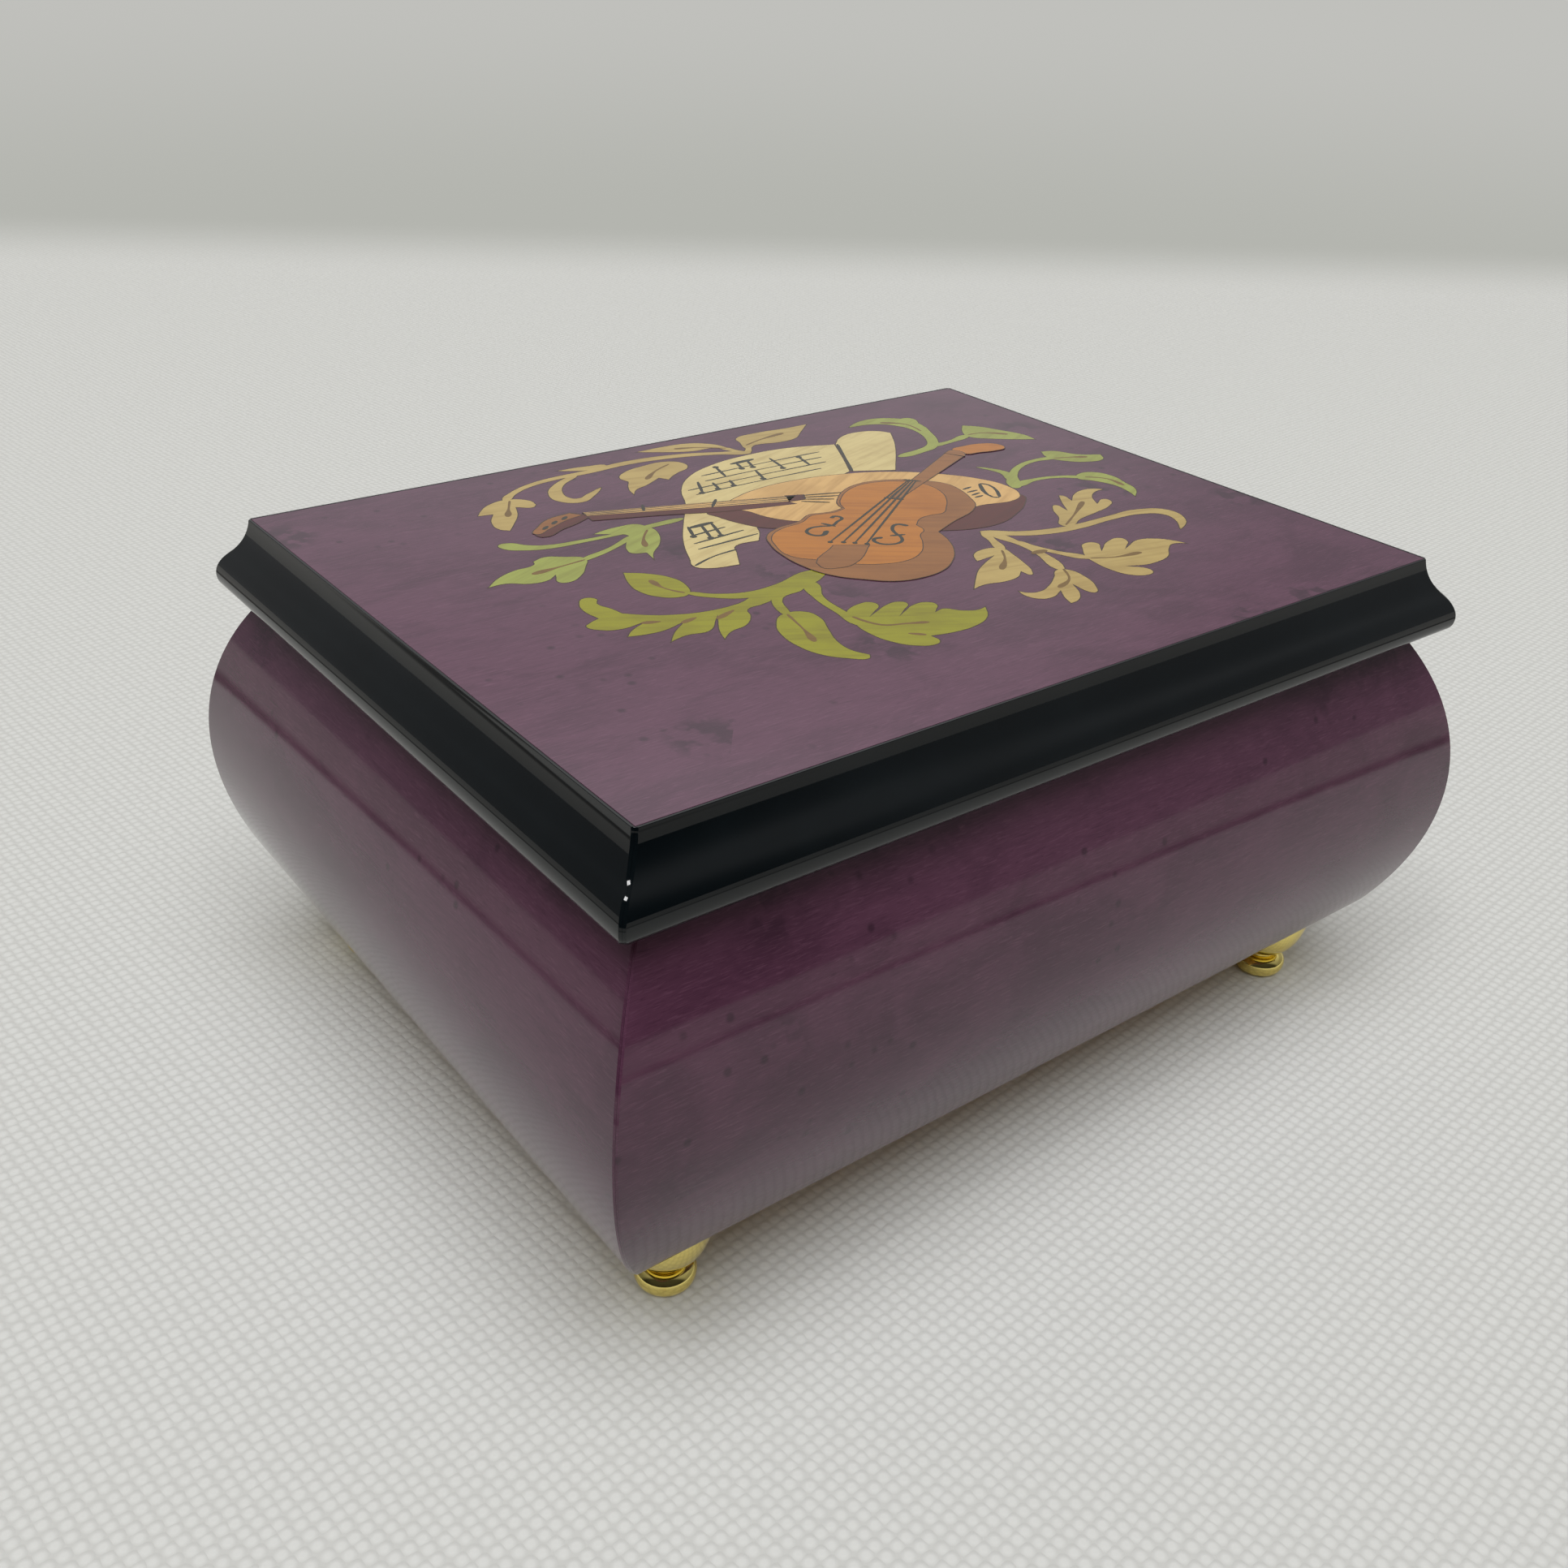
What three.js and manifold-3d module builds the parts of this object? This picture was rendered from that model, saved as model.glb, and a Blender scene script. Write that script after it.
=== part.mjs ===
// A bombe jewellery box: four bulging veneered walls on turned brass feet, a moulded lid on
// butt hinges, a velvet interior and a wind-up musical movement under a clear pane.
// Millimetres, +Z up, +X along the front, +Y to the back, origin on the table under the centre.
import * as THREE from "three";
import { mergeVertices } from "three/addons/utils/BufferGeometryUtils.js";
import Module from "manifold-3d";

const wasm = await Module();
wasm.setup();

// Lid: its flat top, and how far things reach outwards from the edge of that top
const LID_TOP_LENGTH = 143;
const LID_TOP_WIDTH = 108.8;
const LID_HEIGHT = 11.5;
const LID_LIP = 0.4; // black edge left round the veneer
const LID_PANEL_THICKNESS = 3.5;
const VENEER_THICKNESS = 0.8;
const MOULDING_REACH = 4.6;
const MOULDING_COVE = 2.7; // reach where the cove turns into the bead, at 45 degrees
const MOULDING_COVE_DEPTH = 5.5;
const MOULDING_COVE_PULL = 2.1; // how far the turn's slope carries up and inwards into the cove
const MOULDING_BEAD_LEVEL = 2.1; // height over the underside where the bead reaches furthest
const MOULDING_HEEL = 1.9; // rounding under the bead
const LID_LINING_THICKNESS = 3.6;
const LID_LINING_CORNER = 2;

// Case: the walls bulge on one arc from the rim to the bottom edge
const CASE_HEIGHT = 50.5;
const BULGE_RADIUS = 44;
const BULGE_REACH = 8.4;
const BULGE_LEVEL = 22.75; // height of the widest line above the case bottom
const RIM_WIDTH = 7;
const BASE_THICKNESS = 5;
const BASE_REBATE = 5; // how far the base board is let into each wall
const LINING_THICKNESS = 1.5;
const LINING_DROP = 1.5; // wall linings stop this far under the rim
const MITRE_GAP = 0.1;
const SEAT_GAP = 0.05; // between faces that are glued or rest on each other
const CLOSING_GAP = 0.1; // between the closed lid and the rim
const LOOSE_GAP = 0.3; // round what slips into place
const CUT_PAST = 1; // how far a cut runs past the face that it opens

// Turned foot
const FOOT_HEIGHT = 15.6;
const FOOT_CUP_RADIUS = 6.3;
const FOOT_CUP_SWELL = 2.4; // how far above the neck the cup turns upright
const FOOT_CUP_BAND = 1.2; // upright band at the top of the cup
const FOOT_NECK_RADIUS = 3.5;
const FOOT_NECK_HEIGHT = 0.25;
const FOOT_BEAD_RADIUS = 4.3;
const FOOT_BEAD_HEIGHT = 4.2;
const FOOT_PAD_RADIUS = 2.9;
const FOOT_STUD_RADIUS = 1.2;
const FOOT_STUD_LENGTH = 4;
const FOOT_INSET_ALONG = 5.4; // from the base board's ends to a foot's axis
const FOOT_INSET_ACROSS = 4.5; // and from its front and back edges

// Butt hinges
const HINGE_LENGTH = 22;
const HINGE_SPACING = 84;
const HINGE_PIN_OFFSET = 2.45; // from the rim's outer edge out to the pin
const HINGE_PIN_RADIUS = 0.7;
const HINGE_RUNNING_GAP = 0.15;
const HINGE_KNUCKLE_RADIUS = 1.5;
const HINGE_LEAF_MARGIN = 0.9; // rim left between a leaf and the inside of the case
const HINGE_LEAF_THICKNESS = 0.8;
const HINGE_TONGUE = 0.5; // how far a knuckle's tongue runs into its leaf

// Dividers, ring rolls and the pane over the movement
const DIVIDER_THICKNESS = 3;
const PANE_THICKNESS = 2;
const PANE_HEADROOM = 5; // between the movement and the pane
const PANE_BEARING = 2.4; // how far the pane lies on the dividers
const PANE_SLOT_LENGTH = 7; // room for the stop lever's swing
const PANE_SLOT_GAP = 0.6;
const LEDGE_WIDTH = 2.2;
const LEDGE_HEIGHT = 3;
const RING_ROLLS = 3;
const RING_ROLL_ROUNDING = 2.8; // at the ends of a roll

// Movement: bedplate, barrel, cylinder, comb and governor
const BEDPLATE_THICKNESS = 2.5;
const BEDPLATE_CORNER = 3;
const BEDPLATE_MARGIN = 1.5; // left outside what stands on it
const BAY_SIDE_CLEARANCE = 1.5;
const BAY_END_CLEARANCE = 3.5;
const BARREL_RADIUS = 10;
const BARREL_HEIGHT = 13;
const BARREL_CHAMFER = 1;
const ARBOR_RADIUS = 2;
const CYLINDER_RADIUS = 6.5;
const CYLINDER_LENGTH = 19;
const CYLINDER_ARBOR_RADIUS = 1.1;
const PIN_HEIGHT = 0.5; // music pins stand this far out of the cylinder
const BEARING_THICKNESS = 1.6;
const BEARING_WALL = 1.4; // metal round the arbor's hole
const COMB_TEETH = 18;
const COMB_DEPTH = 16;
const COMB_TOOTH_LENGTH = 9;
const COMB_THICKNESS = 1;
const COMB_SLOT = 0.35;
const COMB_END = 0.5; // plate left outside the outer teeth
const COMB_SCREW_INSET = 4.2;
const COMB_SCREW_LENGTH = 5;
const SCREW_RADIUS = 1.2;
const SCREW_HEAD_RADIUS = 2.4;
const SCREW_HEAD_HEIGHT = 1.4;
const SCREW_HEAD_CROWN = 0.55; // domed part of the head
const SCREW_TIP_GAP = 1; // metal left over a movement screw's tip
const GEAR_MODULE = 0.6;
const WHEEL_TEETH = 24;
const PINION_TEETH = 10;
const GEAR_ADDENDUM = 0.45;
const GEAR_DEDENDUM = 0.72;
const TOOTH_ROOT_SHARE = 0.28; // half a tooth's width at its root, as a share of the tooth pitch
const TOOTH_TIP_SHARE = 0.12; // and at its tip
const WHEEL_THICKNESS = 2;
const WHEEL_CLEARANCE = 2.8; // under the wheel's teeth
const GOVERNOR_LENGTH = 14;
const GOVERNOR_WIDTH = 8.5;
const GOVERNOR_HEAD = 4; // height of its case above the pinion's axis
const GOVERNOR_GAP = 0.6; // between its case and the cylinder's pins
const GOVERNOR_STANDOFF = 1.8; // from its case to the pinion's teeth
const GOVERNOR_BEARING = 3; // depth of its two bearing holes
const FAN_SPAN = 10;
const FAN_BLADE_HEIGHT = 4;
const FAN_BLADE_THICKNESS = 0.5;
const SPINDLE_RADIUS = 0.8;
const LEVER_WIRE_RADIUS = 0.6;
const LEVER_LEVEL = 6; // height of the lever's arm above the base board
const LEVER_GAP = 0.6; // from the governor's case to the lever
const LEVER_PIVOT_INSET = 8;
const LEVER_POST_INSET = 4;
const LEVER_LUG_THICKNESS = 1.5;
const MOVEMENT_SCREW_INSET = 3.8;

// Winding key under the box
const KEY_SPAN = 24;
const KEY_WING_HEIGHT = 8;
const KEY_WING_THICKNESS = 1.8;
const KEY_HUB_RADIUS = 3.5;
const KEY_HUB_HEIGHT = 6;
const KEY_EYE_RADIUS = 2.2;
const KEY_SHOULDER = 1.5; // hub above the wings
const KEY_TOP_GAP = 1.7; // between the case bottom and the hub
const KEY_LOBE_ARC = 0.7 * Math.PI; // how far round each wing's lobe runs before the waist

// Steps along curves and sides of round pieces
const BULGE_STEPS = 14;
const MOULDING_STEPS = 7;
const FOOT_STEPS = 5;
const FOOT_SIDES = 20;
const ROLL_STEPS = 4;
const ROLL_SIDES = 18;
const BARREL_SIDES = 28;
const CYLINDER_SIDES = 32;
const KEY_STEPS = 8;
const HUB_SIDES = 16;
const KNUCKLE_STEPS = 8;
const SCREW_STEPS = 3;
const SCREW_SIDES = 12;
const BAR_SIDES = 12;
const WIRE_SIDES = 8;
const CORNER_STEPS = 4;

// Levels and spaces that follow from those
const HALF_LENGTH = LID_TOP_LENGTH / 2;
const HALF_WIDTH = LID_TOP_WIDTH / 2;
const CASE_BOTTOM = FOOT_HEIGHT;
const BASE_TOP = CASE_BOTTOM + BASE_THICKNESS;
const FLOOR_TOP = BASE_TOP + LINING_THICKNESS;
const RIM = CASE_BOTTOM + CASE_HEIGHT;
const LID_UNDERSIDE = RIM + CLOSING_GAP;
const LID_TOP = RIM + LID_HEIGHT;
const WIDEST = CASE_BOTTOM + BULGE_LEVEL;
const RIM_REACH = bulgeReach(RIM);
const WALL_INSIDE = RIM_REACH - RIM_WIDTH; // reach of the walls' flat inside faces
const BASE_EDGE = WALL_INSIDE + BASE_REBATE;
const ROOM_X = HALF_LENGTH + WALL_INSIDE - LINING_THICKNESS; // half sizes of the lined room
const ROOM_Y = HALF_WIDTH + WALL_INSIDE - LINING_THICKNESS;
const PANEL_TOP = LID_TOP - VENEER_THICKNESS - SEAT_GAP;
const PANEL_BOTTOM = PANEL_TOP - LID_PANEL_THICKNESS;
const PIN_Y = HALF_WIDTH + RIM_REACH + HINGE_PIN_OFFSET;
const PIN_Z = RIM + CLOSING_GAP / 2;
const HINGE_BORE_RADIUS = HINGE_PIN_RADIUS + HINGE_RUNNING_GAP;
const HINGE_LEAF_WIDTH = RIM_WIDTH + HINGE_PIN_OFFSET - HINGE_LEAF_MARGIN;

// Bedplate's size, from what stands along it and across it
const WHEEL_RADIUS = (GEAR_MODULE * WHEEL_TEETH) / 2;
const GEAR_DISTANCE = (GEAR_MODULE * (WHEEL_TEETH + PINION_TEETH)) / 2;
const CYLINDER_SWEEP = CYLINDER_RADIUS + PIN_HEIGHT;
const DRIVE_LENGTH = CYLINDER_LENGTH + WHEEL_THICKNESS + 2 * LOOSE_GAP + 2 * BEARING_THICKNESS;
const BEDPLATE_LENGTH = BEDPLATE_MARGIN + 2 * BARREL_RADIUS + LOOSE_GAP + DRIVE_LENGTH;
const COMB_TO_GOVERNOR = COMB_DEPTH + LOOSE_GAP + 2 * CYLINDER_SWEEP + GOVERNOR_GAP;
const LEVER_DEPTH = LEVER_GAP + 2 * LEVER_WIRE_RADIUS;
const BEDPLATE_WIDTH = COMB_TO_GOVERNOR + GOVERNOR_WIDTH + LEVER_DEPTH + 2 * BEDPLATE_MARGIN;

// Movement's centre, and the two dividers that close off its bay
const MOVEMENT_X = ROOM_X - BAY_SIDE_CLEARANCE - BEDPLATE_LENGTH / 2;
const MOVEMENT_Y = ROOM_Y - BAY_END_CLEARANCE - BEDPLATE_WIDTH / 2;
const BAY_LEFT = MOVEMENT_X - BEDPLATE_LENGTH / 2 - BAY_SIDE_CLEARANCE;
const BAY_FRONT = MOVEMENT_Y - BEDPLATE_WIDTH / 2 - BAY_END_CLEARANCE;
const RING_FRONT = -ROOM_Y;
const RING_BACK = BAY_FRONT - DIVIDER_THICKNESS;

// Places on the bedplate, from its centre
const BEDPLATE_LEFT = -BEDPLATE_LENGTH / 2;
const BEDPLATE_RIGHT = BEDPLATE_LENGTH / 2;
const BEDPLATE_FRONT = -BEDPLATE_WIDTH / 2;
const BEDPLATE_BACK = BEDPLATE_WIDTH / 2;
const BEDPLATE_TOP = BASE_TOP + SEAT_GAP + BEDPLATE_THICKNESS;
const BARREL_X = BEDPLATE_LEFT + BEDPLATE_MARGIN + BARREL_RADIUS;
const BARREL_Y = BEDPLATE_FRONT + 2 * BEDPLATE_MARGIN + BARREL_RADIUS;
const LEFT_BEARING_X = BARREL_X + BARREL_RADIUS + LOOSE_GAP;
const CYLINDER_X = LEFT_BEARING_X + BEARING_THICKNESS + LOOSE_GAP;
const WHEEL_X = CYLINDER_X + CYLINDER_LENGTH;
const RIGHT_BEARING_X = WHEEL_X + WHEEL_THICKNESS + LOOSE_GAP;
const COMB_BACK_Y = BEDPLATE_FRONT + BEDPLATE_MARGIN;
const COMB_TIP_Y = COMB_BACK_Y + COMB_DEPTH;
const COMB_ROOT_Y = COMB_TIP_Y - COMB_TOOTH_LENGTH;
const COMB_SCREW_Y = (COMB_BACK_Y + COMB_ROOT_Y) / 2;
const CYLINDER_Y = COMB_TIP_Y + LOOSE_GAP + CYLINDER_SWEEP;
const CYLINDER_Z = BEDPLATE_TOP + WHEEL_CLEARANCE + WHEEL_RADIUS + GEAR_ADDENDUM;
const COMB_BOTTOM = CYLINDER_Z - COMB_THICKNESS / 2;
const PINION_Y = CYLINDER_Y + GEAR_DISTANCE;
const GOVERNOR_FRONT = CYLINDER_Y + CYLINDER_SWEEP + GOVERNOR_GAP;
const GOVERNOR_BACK = GOVERNOR_FRONT + GOVERNOR_WIDTH;
const GOVERNOR_RIGHT = WHEEL_X - GOVERNOR_STANDOFF;
const GOVERNOR_X = GOVERNOR_RIGHT - GOVERNOR_LENGTH;
const GOVERNOR_TOP = CYLINDER_Z + GOVERNOR_HEAD;
const FAN_LOW = Math.max(CYLINDER_Z + CYLINDER_SWEEP, GOVERNOR_TOP) + LOOSE_GAP;
const FAN_HIGH = FAN_LOW + FAN_BLADE_HEIGHT;
const DIVIDER_TOP = FAN_HIGH + PANE_HEADROOM;
const LEVER_Y = GOVERNOR_BACK + LEVER_GAP + LEVER_WIRE_RADIUS;
const LEVER_Z = BASE_TOP + LEVER_LEVEL;
const LEVER_PIVOT_X = BEDPLATE_LEFT + LEVER_PIVOT_INSET;
const LEVER_POST_X = BEDPLATE_RIGHT - LEVER_POST_INSET;
const COMB_SCREWS = [CYLINDER_X + COMB_SCREW_INSET, WHEEL_X - COMB_SCREW_INSET];
const KEY_HUB_TOP = CASE_BOTTOM - KEY_TOP_GAP;
const ARBOR_LOW = KEY_HUB_TOP - KEY_HUB_HEIGHT / 2;
const MOVEMENT_SCREWS = [
  [BEDPLATE_LEFT + MOVEMENT_SCREW_INSET, BEDPLATE_FRONT + MOVEMENT_SCREW_INSET],
  [BEDPLATE_RIGHT - MOVEMENT_SCREW_INSET, BEDPLATE_FRONT + MOVEMENT_SCREW_INSET],
  [BEDPLATE_LEFT + MOVEMENT_SCREW_INSET, BEDPLATE_BACK - 2 * MOVEMENT_SCREW_INSET],
];

// Finishes
const finish = (color, roughness, metalness = 0) =>
  new THREE.MeshStandardMaterial({ color, roughness, metalness });
const PURPLE_VENEER = finish(0x4b2f48, 0.35);
const BLACK_LACQUER = finish(0x0b0d10, 0.08);
const BARE_WOOD = finish(0xb08a5c, 0.7);
const BRASS = finish(0xd9b43c, 0.15, 1);
const VELVET = finish(0x5a1020, 0.95);
const CLEAR_ACRYLIC = finish(0xdfe8ea, 0.05);
const ZINC = finish(0xb9bbbd, 0.4, 1);
const STEEL = finish(0xd5d7da, 0.2, 1);

// How far the bulging wall reaches at a height, measured from the lid top's edge
function bulgeReach(height) {
  const rise = height - WIDEST;
  return BULGE_REACH - BULGE_RADIUS + Math.sqrt(BULGE_RADIUS ** 2 - rise ** 2);
}

// Solid modelling helpers
function solidOf(geometry) {
  const bare = new THREE.BufferGeometry().setAttribute("position", geometry.getAttribute("position"));
  bare.setIndex(geometry.getIndex());
  const merged = mergeVertices(bare, 1e-4);
  return new wasm.Manifold(
    new wasm.Mesh({
      numProp: 3,
      vertProperties: merged.getAttribute("position").array,
      triVerts: new Uint32Array(merged.getIndex().array),
    }),
  );
}

function geometryOf(solid) {
  const mesh = solid.getMesh();
  const geometry = new THREE.BufferGeometry();
  geometry.setAttribute("position", new THREE.BufferAttribute(mesh.vertProperties, 3));
  geometry.setIndex(new THREE.BufferAttribute(mesh.triVerts, 1));
  return geometry;
}

function join(first, ...others) {
  return geometryOf(others.reduce((sum, next) => sum.add(solidOf(next)), solidOf(first)));
}

function cut(first, ...tools) {
  return geometryOf(tools.reduce((rest, tool) => rest.subtract(solidOf(tool)), solidOf(first)));
}

// A box between two corners
function block(low, high) {
  const size = high.map((value, axis) => value - low[axis]);
  const middle = high.map((value, axis) => (value + low[axis]) / 2);
  return new THREE.BoxGeometry(...size).translate(...middle);
}

// A flat outline raised between two heights
function plate(outline, bottom, top, curveSegments = CORNER_STEPS) {
  const options = { depth: top - bottom, bevelEnabled: false, curveSegments };
  return new THREE.ExtrudeGeometry(outline, options).translate(0, 0, bottom);
}

function rectangle(halfX, halfY, corner = 0) {
  const outline = new THREE.Shape();
  if (corner === 0) {
    outline.moveTo(-halfX, -halfY).lineTo(halfX, -halfY).lineTo(halfX, halfY).lineTo(-halfX, halfY);
    return outline;
  }
  outline.absarc(halfX - corner, -halfY + corner, corner, -Math.PI / 2, 0);
  outline.absarc(halfX - corner, halfY - corner, corner, 0, Math.PI / 2);
  outline.absarc(-halfX + corner, halfY - corner, corner, Math.PI / 2, Math.PI);
  outline.absarc(-halfX + corner, -halfY + corner, corner, Math.PI, 1.5 * Math.PI);
  return outline;
}

function roundHole(x, y, radius) {
  return new THREE.Path().absarc(x, y, radius, 0, 2 * Math.PI, true);
}

// A round bar along an axis, from one place on that axis to another
function bar(axis, radius, from, to, sides = BAR_SIDES) {
  const geometry = new THREE.CylinderGeometry(radius, radius, to - from, sides);
  geometry.translate(0, (from + to) / 2, 0);
  if (axis === "x") {
    geometry.rotateZ(-Math.PI / 2);
  } else if (axis === "z") {
    geometry.rotateX(Math.PI / 2);
  }
  return geometry;
}

// A piece turned about the Z axis from an outline of radius and height
function turned(outline, curveSegments, sides) {
  const points = outline.getPoints(curveSegments);
  return new THREE.LatheGeometry(points, sides).rotateX(Math.PI / 2);
}

// One side of a mitred frame, built as the front side. The section is drawn in reach and height,
// and each end runs out with the reach, so four of these close a rectangle.
function mitredSide(section, halfRun, halfAcross, curveSegments) {
  const geometry = new THREE.ExtrudeGeometry(section, { depth: 1, bevelEnabled: false, curveSegments });
  const position = geometry.getAttribute("position");
  for (let i = 0; i < position.count; i += 1) {
    const reach = position.getX(i);
    const height = position.getY(i);
    const end = position.getZ(i) < 0.5 ? 1 : -1;
    position.setXYZ(i, end * (halfRun + reach - MITRE_GAP / 2), -(halfAcross + reach), height);
  }
  return geometry;
}

const SIDES = [
  { side: "front", turn: 0, run: HALF_LENGTH, across: HALF_WIDTH },
  { side: "right", turn: Math.PI / 2, run: HALF_WIDTH, across: HALF_LENGTH },
  { side: "back", turn: Math.PI, run: HALF_LENGTH, across: HALF_WIDTH },
  { side: "left", turn: -Math.PI / 2, run: HALF_WIDTH, across: HALF_LENGTH },
];

const box = new THREE.Group();

function add(name, geometry, material, parent = box) {
  const mesh = new THREE.Mesh(geometry, material.clone());
  mesh.name = name;
  parent.add(mesh);
  return mesh;
}

// Hinge places along the back, shared by the mortises and the hinges
const HINGE_PLACES = [
  { hand: "left", x: -HINGE_SPACING / 2 },
  { hand: "right", x: HINGE_SPACING / 2 },
];

// Case walls: a bulging outside, a flat inside and a rebate for the base board
function wallSection() {
  const arcFrom = Math.atan2(CASE_BOTTOM - WIDEST, bulgeReach(CASE_BOTTOM) - BULGE_REACH + BULGE_RADIUS);
  const arcTo = Math.atan2(RIM - WIDEST, RIM_REACH - BULGE_REACH + BULGE_RADIUS);
  const section = new THREE.Shape();
  section.moveTo(BASE_EDGE, CASE_BOTTOM);
  section.absarc(BULGE_REACH - BULGE_RADIUS, WIDEST, BULGE_RADIUS, arcFrom, arcTo);
  section.lineTo(WALL_INSIDE, RIM);
  section.lineTo(WALL_INSIDE, BASE_TOP);
  section.lineTo(BASE_EDGE, BASE_TOP);
  return section;
}

// Room for one hinge leaf in the rim or in the lid's frame, on its side of the joint
function leafMortise(x, up) {
  const half = HINGE_LENGTH / 2 + LOOSE_GAP;
  const deep = HINGE_LEAF_THICKNESS + SEAT_GAP;
  const edge = up ? PIN_Z + deep : PIN_Z - deep;
  const open = PIN_Z + (up ? -CUT_PAST : CUT_PAST);
  const front = PIN_Y - HINGE_LEAF_WIDTH - SEAT_GAP;
  return block([x - half, front, Math.min(edge, open)], [x + half, PIN_Y, Math.max(edge, open)]);
}

// Notch in the back moulding round a hinge's knuckles
function knuckleNotch(x) {
  const half = HINGE_LENGTH / 2 + LOOSE_GAP;
  const round = HINGE_KNUCKLE_RADIUS + LOOSE_GAP;
  const low = [x - half, PIN_Y - round, RIM - CUT_PAST];
  return block(low, [x + half, HALF_WIDTH + MOULDING_REACH + CUT_PAST, PIN_Z + round]);
}

function addWalls() {
  const section = wallSection();
  for (const { side, turn, run, across } of SIDES) {
    let wall = mitredSide(section, run, across, BULGE_STEPS).rotateZ(turn);
    if (side === "back") {
      wall = cut(wall, ...HINGE_PLACES.map(({ x }) => leafMortise(x, false)));
    }
    add(side + "_wall", wall, PURPLE_VENEER);
  }
}

// Base board, let into the walls and bored for the feet, the arbor and the movement's screws
const FOOT_X = HALF_LENGTH + BASE_EDGE - FOOT_INSET_ALONG;
const FOOT_Y = HALF_WIDTH + BASE_EDGE - FOOT_INSET_ACROSS;
const FEET = [
  { place: "front_left", x: -FOOT_X, y: -FOOT_Y },
  { place: "front_right", x: FOOT_X, y: -FOOT_Y },
  { place: "rear_left", x: -FOOT_X, y: FOOT_Y },
  { place: "rear_right", x: FOOT_X, y: FOOT_Y },
];

function addBase() {
  const outline = rectangle(HALF_LENGTH + BASE_EDGE - MITRE_GAP, HALF_WIDTH + BASE_EDGE - MITRE_GAP);
  for (const { x, y } of FEET) {
    outline.holes.push(roundHole(x, y, FOOT_STUD_RADIUS + LOOSE_GAP));
  }
  outline.holes.push(roundHole(MOVEMENT_X + BARREL_X, MOVEMENT_Y + BARREL_Y, ARBOR_RADIUS + LOOSE_GAP));
  for (const [x, y] of MOVEMENT_SCREWS) {
    outline.holes.push(roundHole(MOVEMENT_X + x, MOVEMENT_Y + y, SCREW_RADIUS + LOOSE_GAP));
  }
  add("base_board", plate(outline, CASE_BOTTOM, BASE_TOP - SEAT_GAP), BARE_WOOD);
}

// Turned foot: pad, bead, neck and a flared cup, with a stud that screws into the base board
function footOutline() {
  const seat = FOOT_HEIGHT - SEAT_GAP;
  const neck = FOOT_BEAD_HEIGHT + FOOT_NECK_HEIGHT;
  const band = seat - FOOT_CUP_BAND;
  const outline = new THREE.Path();
  outline.moveTo(0, 0);
  outline.lineTo(FOOT_PAD_RADIUS, 0);
  outline.quadraticCurveTo(FOOT_BEAD_RADIUS, 0, FOOT_BEAD_RADIUS, FOOT_BEAD_HEIGHT / 2);
  outline.quadraticCurveTo(FOOT_BEAD_RADIUS, FOOT_BEAD_HEIGHT, FOOT_NECK_RADIUS, FOOT_BEAD_HEIGHT);
  outline.lineTo(FOOT_NECK_RADIUS, neck);
  outline.quadraticCurveTo(FOOT_CUP_RADIUS, neck + FOOT_CUP_SWELL, FOOT_CUP_RADIUS, band);
  outline.lineTo(FOOT_CUP_RADIUS, seat);
  outline.lineTo(FOOT_STUD_RADIUS, seat);
  outline.lineTo(FOOT_STUD_RADIUS, FOOT_HEIGHT + FOOT_STUD_LENGTH);
  outline.lineTo(0, FOOT_HEIGHT + FOOT_STUD_LENGTH);
  return outline;
}

function addFeet() {
  for (const { place, x, y } of FEET) {
    const foot = add("foot_" + place, turned(footOutline(), FOOT_STEPS, FOOT_SIDES), BRASS);
    foot.position.set(x, y, 0);
  }
}

// Velvet on the walls and on the floors of the two compartments
function addLinings() {
  const top = RIM - LINING_DROP;
  const outerX = ROOM_X + LINING_THICKNESS - SEAT_GAP;
  const outerY = ROOM_Y + LINING_THICKNESS - SEAT_GAP;
  const innerY = ROOM_Y - SEAT_GAP;
  add("front_lining", block([-outerX, -outerY, BASE_TOP], [outerX, -ROOM_Y, top]), VELVET);
  add("back_lining", block([-outerX, ROOM_Y, BASE_TOP], [outerX, outerY, top]), VELVET);
  add("left_lining", block([-outerX, -innerY, BASE_TOP], [-ROOM_X, innerY, top]), VELVET);
  add("right_lining", block([ROOM_X, -innerY, BASE_TOP], [outerX, innerY, top]), VELVET);
  const mainRight = BAY_LEFT - DIVIDER_THICKNESS - SEAT_GAP;
  const mainLow = [-ROOM_X + SEAT_GAP, -ROOM_Y + SEAT_GAP, BASE_TOP];
  add("main_floor_pad", block(mainLow, [mainRight, ROOM_Y - SEAT_GAP, FLOOR_TOP]), VELVET);
  const ringLow = [BAY_LEFT + SEAT_GAP, RING_FRONT + SEAT_GAP, BASE_TOP];
  add("ring_floor_pad", block(ringLow, [ROOM_X - SEAT_GAP, RING_BACK - SEAT_GAP, FLOOR_TOP]), VELVET);
}

// Two dividers close off the bay of the movement and the ring tray
function addDividers() {
  const longLow = [BAY_LEFT - DIVIDER_THICKNESS, -ROOM_Y + SEAT_GAP, BASE_TOP];
  add("long_divider", block(longLow, [BAY_LEFT, ROOM_Y - SEAT_GAP, DIVIDER_TOP]), VELVET);
  const crossLow = [BAY_LEFT + SEAT_GAP, RING_BACK, BASE_TOP];
  add("cross_divider", block(crossLow, [ROOM_X - SEAT_GAP, BAY_FRONT, DIVIDER_TOP]), VELVET);
}

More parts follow.
